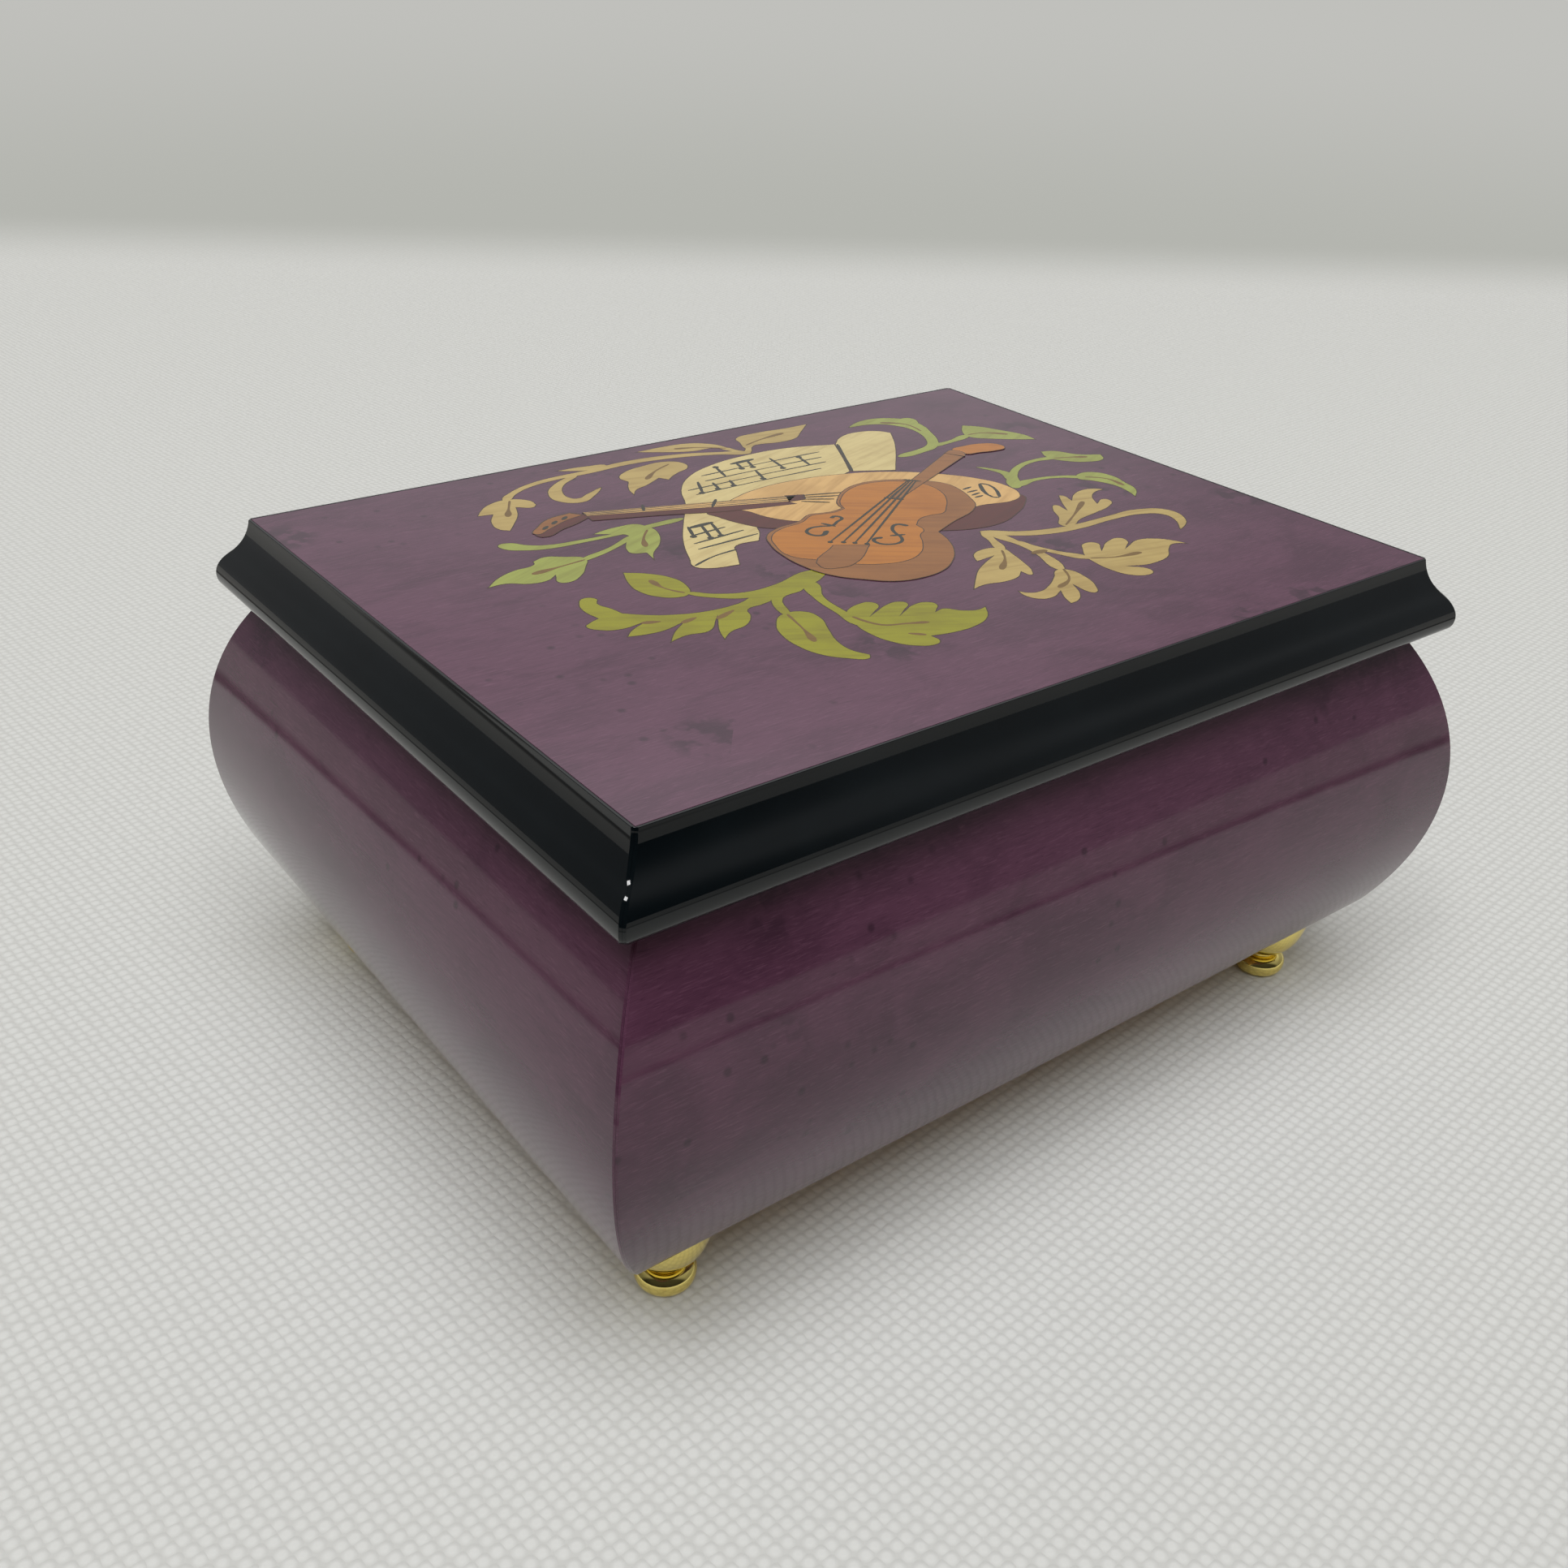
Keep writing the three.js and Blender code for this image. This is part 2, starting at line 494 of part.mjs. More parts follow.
// Ring rolls: soft rolls side by side that grip a ring between them
function addRingRolls() {
  const pitch = (RING_BACK - RING_FRONT) / RING_ROLLS;
  const radius = (pitch - LOOSE_GAP) / 2;
  const halfLength = (ROOM_X - BAY_LEFT) / 2 - LOOSE_GAP;
  const outline = new THREE.Path();
  outline.moveTo(0, -halfLength);
  outline.lineTo(radius - RING_ROLL_ROUNDING, -halfLength);
  outline.quadraticCurveTo(radius, -halfLength, radius, -halfLength + RING_ROLL_ROUNDING);
  outline.lineTo(radius, halfLength - RING_ROLL_ROUNDING);
  outline.quadraticCurveTo(radius, halfLength, radius - RING_ROLL_ROUNDING, halfLength);
  outline.lineTo(0, halfLength);
  for (let i = 0; i < RING_ROLLS; i += 1) {
    const roll = turned(outline, ROLL_STEPS, ROLL_SIDES).rotateY(Math.PI / 2);
    const mesh = add("ring_roll_" + (i + 1), roll, VELVET);
    const middle = RING_FRONT + (i + 0.5) * pitch;
    mesh.position.set((BAY_LEFT + ROOM_X) / 2, middle, FLOOR_TOP + SEAT_GAP + radius);
  }
}

// Clear pane over the movement, on the dividers and a ledge, with a slot for the stop lever
function addPane() {
  const left = BAY_LEFT - PANE_BEARING;
  const right = ROOM_X - LOOSE_GAP;
  const front = BAY_FRONT - PANE_BEARING;
  const back = ROOM_Y - LOOSE_GAP;
  const slotRight = MOVEMENT_X + LEVER_POST_X + LEVER_WIRE_RADIUS + PANE_SLOT_GAP;
  const slotLeft = slotRight - PANE_SLOT_LENGTH;
  const slotFront = MOVEMENT_Y + LEVER_Y - LEVER_WIRE_RADIUS - PANE_SLOT_GAP;
  const outline = new THREE.Shape();
  outline.moveTo(left, front).lineTo(right, front).lineTo(right, back);
  outline.lineTo(slotRight, back).lineTo(slotRight, slotFront);
  outline.lineTo(slotLeft, slotFront).lineTo(slotLeft, back).lineTo(left, back);
  const bottom = DIVIDER_TOP + SEAT_GAP;
  add("movement_pane", plate(outline, bottom, bottom + PANE_THICKNESS), CLEAR_ACRYLIC);
  const ledgeLow = [BAY_LEFT + SEAT_GAP, ROOM_Y - LEDGE_WIDTH, DIVIDER_TOP - LEDGE_HEIGHT];
  add("pane_ledge", block(ledgeLow, [ROOM_X - SEAT_GAP, ROOM_Y - SEAT_GAP, DIVIDER_TOP]), BARE_WOOD);
}

// Lid frame: a cove over a bead, rebated for the panel, with a flat underside that meets the rim
function mouldingSection() {
  const frameInside = WALL_INSIDE - LOOSE_GAP;
  const bead = LID_UNDERSIDE + MOULDING_BEAD_LEVEL;
  const cove = LID_TOP - MOULDING_COVE_DEPTH;
  const swell = MOULDING_REACH - MOULDING_COVE;
  const section = new THREE.Shape();
  section.moveTo(frameInside, LID_UNDERSIDE);
  section.lineTo(MOULDING_REACH - MOULDING_HEEL, LID_UNDERSIDE);
  section.quadraticCurveTo(MOULDING_REACH, LID_UNDERSIDE, MOULDING_REACH, bead);
  section.quadraticCurveTo(MOULDING_REACH, cove - swell, MOULDING_COVE, cove);
  section.quadraticCurveTo(MOULDING_COVE - MOULDING_COVE_PULL, cove + MOULDING_COVE_PULL, 0, LID_TOP);
  section.lineTo(-LID_LIP, LID_TOP);
  section.lineTo(-LID_LIP, PANEL_BOTTOM);
  section.lineTo(frameInside, PANEL_BOTTOM);
  return section;
}

function addLid() {
  const section = mouldingSection();
  for (const { side, turn, run, across } of SIDES) {
    let strip = mitredSide(section, run, across, MOULDING_STEPS).rotateZ(turn);
    if (side === "back") {
      const rooms = HINGE_PLACES.flatMap(({ x }) => [leafMortise(x, true), knuckleNotch(x)]);
      strip = cut(strip, ...rooms);
    }
    add(side + "_moulding", strip, BLACK_LACQUER);
  }
  const fitX = HALF_LENGTH - LID_LIP - SEAT_GAP;
  const fitY = HALF_WIDTH - LID_LIP - SEAT_GAP;
  const panelLow = PANEL_BOTTOM + SEAT_GAP;
  add("lid_panel", block([-fitX, -fitY, panelLow], [fitX, fitY, PANEL_TOP]), BARE_WOOD);
  const veneerLow = PANEL_TOP + SEAT_GAP;
  add("lid_veneer", block([-fitX, -fitY, veneerLow], [fitX, fitY, LID_TOP]), PURPLE_VENEER);
  const padX = HALF_LENGTH + WALL_INSIDE - 2 * LOOSE_GAP;
  const padY = HALF_WIDTH + WALL_INSIDE - 2 * LOOSE_GAP;
  const padLow = PANEL_BOTTOM - LID_LINING_THICKNESS;
  add("lid_lining", plate(rectangle(padX, padY, LID_LINING_CORNER), padLow, PANEL_BOTTOM), VELVET);
}

// Hinge leaf about a pin along X at the origin. Its plate lies towards -Y on one side of the joint,
// and a tongue joins it to each of its knuckles.
function hingeLeaf(knuckles, up) {
  const near = SEAT_GAP / 2;
  const low = up ? near : -HINGE_LEAF_THICKNESS;
  const high = up ? HINGE_LEAF_THICKNESS : -near;
  const half = HINGE_LENGTH / 2;
  const clear = -(HINGE_KNUCKLE_RADIUS + LOOSE_GAP);
  const ring = new THREE.Shape().absarc(0, 0, HINGE_KNUCKLE_RADIUS, 0, 2 * Math.PI);
  ring.holes.push(roundHole(0, 0, HINGE_BORE_RADIUS));
  const pieces = [block([-half, -HINGE_LEAF_WIDTH, low], [half, clear, high])];
  const bore = -(HINGE_BORE_RADIUS + HINGE_KNUCKLE_RADIUS) / 2;
  for (const [from, to] of knuckles) {
    pieces.push(block([from, clear - HINGE_TONGUE, low], [to, bore, high]));
    pieces.push(plate(ring, from, to, KNUCKLE_STEPS).rotateX(Math.PI / 2).rotateZ(Math.PI / 2));
  }
  return join(...pieces);
}

function addHinges() {
  const sixth = HINGE_LENGTH / 6;
  const half = HINGE_LENGTH / 2;
  const gap = LOOSE_GAP / 2;
  for (const { hand, x } of HINGE_PLACES) {
    const hinge = new THREE.Group();
    hinge.position.set(x, PIN_Y, PIN_Z);
    box.add(hinge);
    const outer = [[-half, -sixth - gap], [sixth + gap, half]];
    const middle = [[-sixth + gap, sixth - gap]];
    add(hand + "_hinge_case_leaf", hingeLeaf(outer, false), BRASS, hinge);
    add(hand + "_hinge_lid_leaf", hingeLeaf(middle, true), BRASS, hinge);
    add(hand + "_hinge_pin", bar("x", HINGE_PIN_RADIUS, -half, half), BRASS, hinge);
  }
}

// Movement: everything below stands in a group at the bedplate's centre
const movement = new THREE.Group();
movement.position.set(MOVEMENT_X, MOVEMENT_Y, 0);
box.add(movement);

function addBedplate() {
  const outline = rectangle(BEDPLATE_LENGTH / 2, BEDPLATE_WIDTH / 2, BEDPLATE_CORNER);
  outline.holes.push(roundHole(BARREL_X, BARREL_Y, ARBOR_RADIUS + LOOSE_GAP));
  const bottom = BASE_TOP + SEAT_GAP;
  const floor = plate(outline, bottom, BEDPLATE_TOP);
  const root = bottom + BEDPLATE_THICKNESS / 2;
  const boss = block([CYLINDER_X, COMB_BACK_Y, root], [WHEEL_X, COMB_ROOT_Y, COMB_BOTTOM - SEAT_GAP]);
  const arborHole = CYLINDER_ARBOR_RADIUS + LOOSE_GAP;
  const halfY = arborHole + BEARING_WALL;
  const bearings = [LEFT_BEARING_X, RIGHT_BEARING_X].map((x) => {
    const high = [x + BEARING_THICKNESS, CYLINDER_Y + halfY, CYLINDER_Z + halfY];
    return block([x, CYLINDER_Y - halfY, root], high);
  });
  const lugHalf = 2 * LEVER_WIRE_RADIUS;
  const lugBack = LEVER_Y - LEVER_WIRE_RADIUS - LOOSE_GAP;
  const lugLow = [LEVER_PIVOT_X - lugHalf, lugBack - LEVER_LUG_THICKNESS, root];
  const lug = block(lugLow, [LEVER_PIVOT_X + lugHalf, lugBack, LEVER_Z + lugHalf]);
  const boreEnd = RIGHT_BEARING_X + BEARING_THICKNESS + CUT_PAST;
  const bore = bar("x", arborHole, LEFT_BEARING_X - CUT_PAST, boreEnd);
  bore.translate(0, CYLINDER_Y, CYLINDER_Z);
  const tap = SCREW_RADIUS + LOOSE_GAP;
  const combTap = bar("z", tap, BEDPLATE_TOP, COMB_BOTTOM);
  const floorTap = bar("z", tap, bottom - CUT_PAST, BEDPLATE_TOP);
  const combTaps = COMB_SCREWS.map((x) => combTap.clone().translate(x, COMB_SCREW_Y, 0));
  const floorTaps = MOVEMENT_SCREWS.map(([x, y]) => floorTap.clone().translate(x, y, 0));
  const casting = join(floor, boss, ...bearings, lug);
  add("bedplate", cut(casting, bore, ...combTaps, ...floorTaps), ZINC, movement);
}

// Spring barrel with a blind hole for the arbor, and the arbor that the key winds
function addBarrel() {
  const bottom = BEDPLATE_TOP + SEAT_GAP;
  const top = bottom + BARREL_HEIGHT;
  const outline = new THREE.Path();
  const well = bottom + BARREL_HEIGHT / 2;
  outline.moveTo(0, well).lineTo(ARBOR_RADIUS + LOOSE_GAP, well);
  outline.lineTo(ARBOR_RADIUS + LOOSE_GAP, bottom).lineTo(BARREL_RADIUS, bottom);
  outline.lineTo(BARREL_RADIUS, top - BARREL_CHAMFER).lineTo(BARREL_RADIUS - BARREL_CHAMFER, top);
  outline.lineTo(0, top);
  const barrel = add("spring_barrel", turned(outline, 1, BARREL_SIDES), ZINC, movement);
  barrel.position.set(BARREL_X, BARREL_Y, 0);
  const arbor = bar("z", ARBOR_RADIUS, ARBOR_LOW, well - LOOSE_GAP);
  add("winding_arbor", arbor, STEEL, movement).position.set(BARREL_X, BARREL_Y, 0);
}

// Winding key: two pierced wings on a hub that is bored for the arbor
function addKey() {
  const wingMiddle = KEY_HUB_TOP - KEY_SHOULDER - KEY_WING_HEIGHT / 2;
  const lobe = KEY_WING_HEIGHT / 2;
  const lobeX = KEY_SPAN / 2 - lobe;
  const outline = new THREE.Shape();
  outline.absarc(lobeX, wingMiddle, lobe, -KEY_LOBE_ARC, KEY_LOBE_ARC);
  outline.absarc(-lobeX, wingMiddle, lobe, Math.PI - KEY_LOBE_ARC, Math.PI + KEY_LOBE_ARC);
  outline.holes.push(roundHole(lobeX, wingMiddle, KEY_EYE_RADIUS));
  outline.holes.push(roundHole(-lobeX, wingMiddle, KEY_EYE_RADIUS));
  const half = KEY_WING_THICKNESS / 2;
  const wing = plate(outline, -half, half, KEY_STEPS).rotateX(Math.PI / 2);
  const hub = bar("z", KEY_HUB_RADIUS, KEY_HUB_TOP - KEY_HUB_HEIGHT, KEY_HUB_TOP, HUB_SIDES);
  const bore = bar("z", ARBOR_RADIUS + LOOSE_GAP, ARBOR_LOW - LOOSE_GAP, KEY_HUB_TOP + CUT_PAST);
  const key = cut(join(wing, hub), bore);
  add("winding_key", key, BRASS, movement).position.set(BARREL_X, BARREL_Y, 0);
}

// Spur gear outline with plain straight-sided teeth; the first tooth lies at the phase angle
function gearOutline(teeth, phase) {
  const pitch = (GEAR_MODULE * teeth) / 2;
  const root = pitch - GEAR_DEDENDUM;
  const tip = pitch + GEAR_ADDENDUM;
  const step = (2 * Math.PI) / teeth;
  const corners = [
    [root, -TOOTH_ROOT_SHARE],
    [tip, -TOOTH_TIP_SHARE],
    [tip, TOOTH_TIP_SHARE],
    [root, TOOTH_ROOT_SHARE],
  ];
  const points = [];
  for (let i = 0; i < teeth; i += 1) {
    for (const [radius, share] of corners) {
      const angle = phase + (i + share) * step;
      points.push(new THREE.Vector2(radius * Math.cos(angle), radius * Math.sin(angle)));
    }
  }
  return new THREE.Shape(points);
}

// A gear on an axis along X: the outline's first direction becomes +Y, its second +Z
function gear(teeth, phase, boreRadius) {
  const outline = gearOutline(teeth, phase);
  if (boreRadius > 0) {
    outline.holes.push(roundHole(0, 0, boreRadius));
  }
  const disc = plate(outline, WHEEL_X, WHEEL_X + WHEEL_THICKNESS);
  return disc.rotateX(Math.PI / 2).rotateZ(Math.PI / 2);
}

// Cylinder with its arbor, and the wheel on that arbor which drives the governor
function addCylinder() {
  const drum = bar("x", CYLINDER_RADIUS, CYLINDER_X, WHEEL_X - SEAT_GAP, CYLINDER_SIDES);
  const arborLow = LEFT_BEARING_X + LOOSE_GAP;
  const arborHigh = RIGHT_BEARING_X + BEARING_THICKNESS - LOOSE_GAP;
  const cylinder = join(drum, bar("x", CYLINDER_ARBOR_RADIUS, arborLow, arborHigh));
  add("music_cylinder", cylinder, BRASS, movement).position.set(0, CYLINDER_Y, CYLINDER_Z);
  const wheel = gear(WHEEL_TEETH, 0, CYLINDER_ARBOR_RADIUS + LOOSE_GAP);
  add("cylinder_wheel", wheel, BRASS, movement).position.set(0, CYLINDER_Y, CYLINDER_Z);
}

// Steel comb: a plate whose front is slit into teeth that reach the cylinder's pins
function addComb() {
  const pitch = (CYLINDER_LENGTH - 2 * COMB_END) / COMB_TEETH;
  const left = CYLINDER_X + COMB_END;
  const outline = new THREE.Shape();
  outline.moveTo(CYLINDER_X, COMB_BACK_Y).lineTo(WHEEL_X, COMB_BACK_Y).lineTo(WHEEL_X, COMB_ROOT_Y);
  for (let i = COMB_TEETH - 1; i >= 0; i -= 1) {
    const toothLeft = left + i * pitch + COMB_SLOT / 2;
    const toothRight = left + (i + 1) * pitch - COMB_SLOT / 2;
    outline.lineTo(toothRight, COMB_ROOT_Y).lineTo(toothRight, COMB_TIP_Y);
    outline.lineTo(toothLeft, COMB_TIP_Y).lineTo(toothLeft, COMB_ROOT_Y);
  }
  outline.lineTo(CYLINDER_X, COMB_ROOT_Y);
  for (const x of COMB_SCREWS) {
    outline.holes.push(roundHole(x, COMB_SCREW_Y, SCREW_RADIUS + LOOSE_GAP));
  }
  add("steel_comb", plate(outline, COMB_BOTTOM, COMB_BOTTOM + COMB_THICKNESS), STEEL, movement);
}

// Pan-head screw pointing down, with the underside of its head at the origin
function screw(length) {
  const outline = new THREE.Path();
  outline.moveTo(0, -length).lineTo(SCREW_RADIUS, -length).lineTo(SCREW_RADIUS, 0);
  outline.lineTo(SCREW_HEAD_RADIUS, 0).lineTo(SCREW_HEAD_RADIUS, SCREW_HEAD_HEIGHT - SCREW_HEAD_CROWN);
  outline.quadraticCurveTo(SCREW_HEAD_RADIUS - SCREW_HEAD_CROWN, SCREW_HEAD_HEIGHT, 0, SCREW_HEAD_HEIGHT);
  return turned(outline, SCREW_STEPS, SCREW_SIDES);
}

function addScrews() {
  const combTop = COMB_BOTTOM + COMB_THICKNESS + SEAT_GAP;
  COMB_SCREWS.forEach((x, i) => {
    const mesh = add("comb_screw_" + (i + 1), screw(COMB_SCREW_LENGTH), STEEL, movement);
    mesh.position.set(x, COMB_SCREW_Y, combTop);
  });
  const length = BASE_THICKNESS + BEDPLATE_THICKNESS - SCREW_TIP_GAP;
  MOVEMENT_SCREWS.forEach(([x, y], i) => {
    const mesh = add("movement_screw_" + (i + 1), screw(length), STEEL, movement);
    mesh.rotation.x = Math.PI;
    mesh.position.set(x, y, CASE_BOTTOM - SEAT_GAP);
  });
}

// Governor: a closed gearcase with a pinion on its end and an air-brake fan on its top
function addGovernor() {
  const middleX = GOVERNOR_X + GOVERNOR_LENGTH / 2;
  const middleY = (GOVERNOR_FRONT + GOVERNOR_BACK) / 2;
  const hole = SPINDLE_RADIUS + LOOSE_GAP;
  const pinionHole = bar("x", hole, GOVERNOR_RIGHT - GOVERNOR_BEARING, GOVERNOR_RIGHT + CUT_PAST);
  pinionHole.translate(0, PINION_Y, CYLINDER_Z);
  const fanHole = bar("z", hole, GOVERNOR_TOP - GOVERNOR_BEARING, GOVERNOR_TOP + CUT_PAST);
  fanHole.translate(middleX, middleY, 0);
  const low = [GOVERNOR_X, GOVERNOR_FRONT, BEDPLATE_TOP + SEAT_GAP];
  const gearcase = block(low, [GOVERNOR_RIGHT, GOVERNOR_BACK, GOVERNOR_TOP]);
  add("governor_case", cut(gearcase, pinionHole, fanHole), ZINC, movement);

  const meshPhase = Math.PI + Math.PI / PINION_TEETH;
  const spindleLow = GOVERNOR_RIGHT - GOVERNOR_BEARING + LOOSE_GAP;
  const spindle = bar("x", SPINDLE_RADIUS, spindleLow, WHEEL_X + WHEEL_THICKNESS);
  const pinion = join(gear(PINION_TEETH, meshPhase, 0), spindle);
  add("governor_pinion", pinion, BRASS, movement).position.set(0, PINION_Y, CYLINDER_Z);

  const stem = bar("z", SPINDLE_RADIUS, GOVERNOR_TOP - GOVERNOR_BEARING + LOOSE_GAP, FAN_HIGH);
  const half = FAN_BLADE_THICKNESS / 2;
  const blades = block([-FAN_SPAN / 2, -half, FAN_LOW], [FAN_SPAN / 2, half, FAN_HIGH]);
  add("air_brake_fan", join(stem, blades), STEEL, movement).position.set(middleX, middleY, 0);
}

// Stop lever: one bent wire, from a pivot on the bedplate's lug to a post under the closed lid
function addStopLever() {
  const postTop = PANEL_BOTTOM - LID_LINING_THICKNESS - LOOSE_GAP;
  const wire = LEVER_WIRE_RADIUS;
  const arm = bar("x", wire, LEVER_PIVOT_X, LEVER_POST_X, WIRE_SIDES).translate(0, LEVER_Y, LEVER_Z);
  const post = bar("z", wire, LEVER_Z - wire, postTop, WIRE_SIDES).translate(LEVER_POST_X, LEVER_Y, 0);
  const eye = bar("y", 2 * wire, -wire, wire).translate(LEVER_PIVOT_X, LEVER_Y, LEVER_Z);
  add("stop_lever", join(eye, arm, post), STEEL, movement);
}

addWalls();
addBase();
addFeet();
addLinings();
addDividers();
addRingRolls();
addPane();
addLid();
addHinges();
addBedplate();
addBarrel();
addKey();
addCylinder();
addComb();
addScrews();
addGovernor();
addStopLever();

export default box;
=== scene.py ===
"""An inlaid musical jewellery box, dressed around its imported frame."""

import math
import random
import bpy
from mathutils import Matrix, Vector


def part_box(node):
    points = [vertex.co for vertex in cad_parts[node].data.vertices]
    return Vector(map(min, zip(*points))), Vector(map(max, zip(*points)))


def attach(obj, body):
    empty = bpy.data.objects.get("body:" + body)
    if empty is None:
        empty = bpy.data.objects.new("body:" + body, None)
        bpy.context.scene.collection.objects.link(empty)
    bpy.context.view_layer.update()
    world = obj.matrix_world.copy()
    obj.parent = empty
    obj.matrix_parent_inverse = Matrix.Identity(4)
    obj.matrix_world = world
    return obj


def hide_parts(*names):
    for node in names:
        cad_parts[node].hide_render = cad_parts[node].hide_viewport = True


bl_info = {
    "name": "Inlaid Jewellery Box",
    "version": (1, 0, 0),
    "blender": (4, 5, 0),
    "location": "3D View > Sidebar > Jewellery Box",
    "description": "Bombe jewellery box with a musical movement, inlaid lid and turned feet",
    "category": "Add Mesh",
}

import bmesh
import bpy
from mathutils import Matrix, Vector, geometry

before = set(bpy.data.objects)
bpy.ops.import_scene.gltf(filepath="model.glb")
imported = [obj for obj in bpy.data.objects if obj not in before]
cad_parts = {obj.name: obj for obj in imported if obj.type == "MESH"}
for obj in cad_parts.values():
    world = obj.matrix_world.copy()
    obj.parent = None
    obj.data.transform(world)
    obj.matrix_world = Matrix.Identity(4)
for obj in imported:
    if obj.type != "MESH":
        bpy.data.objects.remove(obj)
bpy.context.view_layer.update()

MM = 0.001
# Points closer than this are one
MERGE = 0.002 * MM
# Faces within the first angle are one flat, edges past the second are rounded, past the third shaded sharp
FLAT_ANGLE = math.radians(1)
SHARP_ANGLE = math.radians(28)
SMOOTH_ANGLE = math.radians(42)
# How much of the flat on a mitred corner is rounding, and how deep its skin counts as outside
EASE_ROUND = 0.3
SKIN_DEPTH = 0.02 * MM
# Parts of a face's direction that differ by less than this count as equal
NEARLY = 0.01
# Room round a piece that is let into another, and how far a cutter passes what it cuts
SEAT = 0.05 * MM
PAST = 1 * MM

# Places that the frame gives
VENEER_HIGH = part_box("lid_veneer")[1]
WALL_LOW, WALL_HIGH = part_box("front_wall")
MOULDING_LOW, MOULDING_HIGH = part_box("front_moulding")
BASE_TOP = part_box("base_board")[1].z
PANEL_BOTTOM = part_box("lid_panel")[0].z
PIN_LOW, PIN_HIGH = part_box("left_hinge_pin")
DRUM_LOW, DRUM_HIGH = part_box("music_cylinder")
COMB_LOW, COMB_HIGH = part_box("steel_comb")
PIN_Y = (PIN_LOW.y + PIN_HIGH.y) / 2
PIN_Z = (PIN_LOW.z + PIN_HIGH.z) / 2


def length(label, words, millimetres):
    return bpy.props.FloatProperty(
        name=label, description=words, default=millimetres * MM, precision=5, unit="LENGTH"
    )


def degrees(label, words, number):
    return bpy.props.FloatProperty(
        name=label, description=words, default=math.radians(number), subtype="ANGLE"
    )


def amount(label, words, number, unit="NONE"):
    return bpy.props.FloatProperty(name=label, description=words, default=number, min=0, unit=unit)


def linear(level):
    """A screen level from 0 to 255 as a share of light"""
    share = level / 255
    return share / 12.92 if share <= 0.04045 else ((share + 0.055) / 1.055) ** 2.4


def tint(label, words, *levels):
    return bpy.props.FloatVectorProperty(
        name=label, description=words, default=[linear(level) for level in levels],
        size=3, min=0, max=1, subtype="COLOR",
    )


class CaseSizes(bpy.types.PropertyGroup):
    """Sizes of the bulging case"""

    bulge_radius: length("Bulge radius", "Radius of the walls' outside curve", 44)
    bulge_reach: length("Bulge reach", "How far the walls swell past the lid top's edge", 8.4)
    bulge_level: length("Bulge level", "Height of the widest line above the case's bottom", 22.75)
    rim_width: length("Rim width", "Width of the flat rim", 7)
    base_rebate: length("Base rebate", "How far the base board is let into the walls", 5)
    mitre_gap: length("Mitre gap", "Gap between two walls at a corner", 0.03)
    corner: length("Corner", "Flat on the outside of two walls' corner, along each", 0.45)
    edge: length("Edge", "Rounding of the veneered edges", 0.22)
    board_edge: length("Board edge", "Rounding of the base board and the pane's ledge", 0.3)


class LidSizes(bpy.types.PropertyGroup):
    """Sizes of the lid's moulding"""

    lip: length("Lip", "Black edge round the lid's veneer", 0.45)
    reach: length("Reach", "How far the moulding stands out", 4.6)
    cove_reach: length("Cove reach", "Where the cove turns into the bead", 2.7)
    cove_depth: length("Cove depth", "Depth of that turn below the lid's top", 5.5)
    cove_pull: length("Cove pull", "How high the turn's slope carries up into the cove", 2.2)
    cove_slope: degrees("Cove slope", "Slope of that turn, from upright", 45.5)
    bead_level: length("Bead level", "Height where the bead reaches furthest", 2.1)
    heel: length("Heel", "Rounding under the bead", 1.9)
    corner: length("Corner", "Flat on the outside of the moulding's corners, along each side", 0.6)
    edge: length("Edge", "Rounding of the lacquered edges", 0.15)
    panel_edge: length("Panel edge", "Rounding of the panel's edges", 0.2)
    veneer_edge: length("Veneer edge", "Rounding of the top veneer's edges", 0.06)


class FootSizes(bpy.types.PropertyGroup):
    """Sizes of one turned foot"""

    height: length("Height", "Height of the foot below the case", 15.55)
    cup: length("Cup", "Radius of the cup", 6.9)
    swell: length("Swell", "How far above the neck the cup turns upright", 2.4)
    band: length("Band", "Upright band at the top of the cup", 1.2)
    rim: length("Rim", "Radius of the cup's lower rim", 3.1)
    neck: length("Neck", "Radius of the neck", 2.3)
    neck_top: length("Neck top", "Height of the neck's top", 4.4)
    bead: length("Bead", "Radius of the bead", 4.3)
    bead_level: length("Bead level", "Height where the bead is widest", 2.0)
    bead_rise: length("Bead rise", "Height of the bead above that", 1.6)
    pad: length("Pad", "Radius of the flat under the bead", 2.6)
    stud: length("Stud", "Radius of the stud", 1.2)
    stud_length: length("Stud length", "Length of the stud", 4)
    edge: length("Edge", "Rounding of the turned edges", 0.1)


class HingeSizes(bpy.types.PropertyGroup):
    """Sizes of one hinge"""

    run: length("Run", "Length of a hinge", 22)
    leaf: length("Leaf", "Thickness of a leaf", 0.8)
    leaf_width: length("Leaf width", "Width of a leaf from the pin", 8.55)
    knuckle: length("Knuckle", "Radius of a knuckle", 1.5)
    play: length("Play", "Room round a hinge", 0.3)
    leaf_edge: length("Leaf edge", "Rounding of a leaf's edges", 0.12)
    pin_edge: length("Pin edge", "Rounding of a pin's ends", 0.15)


class InlaySizes(bpy.types.PropertyGroup):
    """Sizes of the lid's inlay"""

    layer: length("Layer", "Height that one layer of the inlay adds", 0.006)
    saw_line: length("Saw line", "Width of the dark line round a piece", 0.16)
    stagger: amount("Stagger", "Share of a layer between shapes of one group", 0.02)


class SoftSizes(bpy.types.PropertyGroup):
    """Sizes of the velvet pieces"""

    edge: length("Edge", "Rounding of a covered edge", 0.55)
    swell: length("Swell", "How far a roll is fuller in the middle than at its ends", 0.35)
    roll_end: length("Roll end", "Rounding at the end of a roll", 2.8)
    pull: length("Pull", "How far a pad's sides pull in between its corners", 0.18)
    crown: length("Crown", "How far the main floor's pad rises in its middle", 0.5)


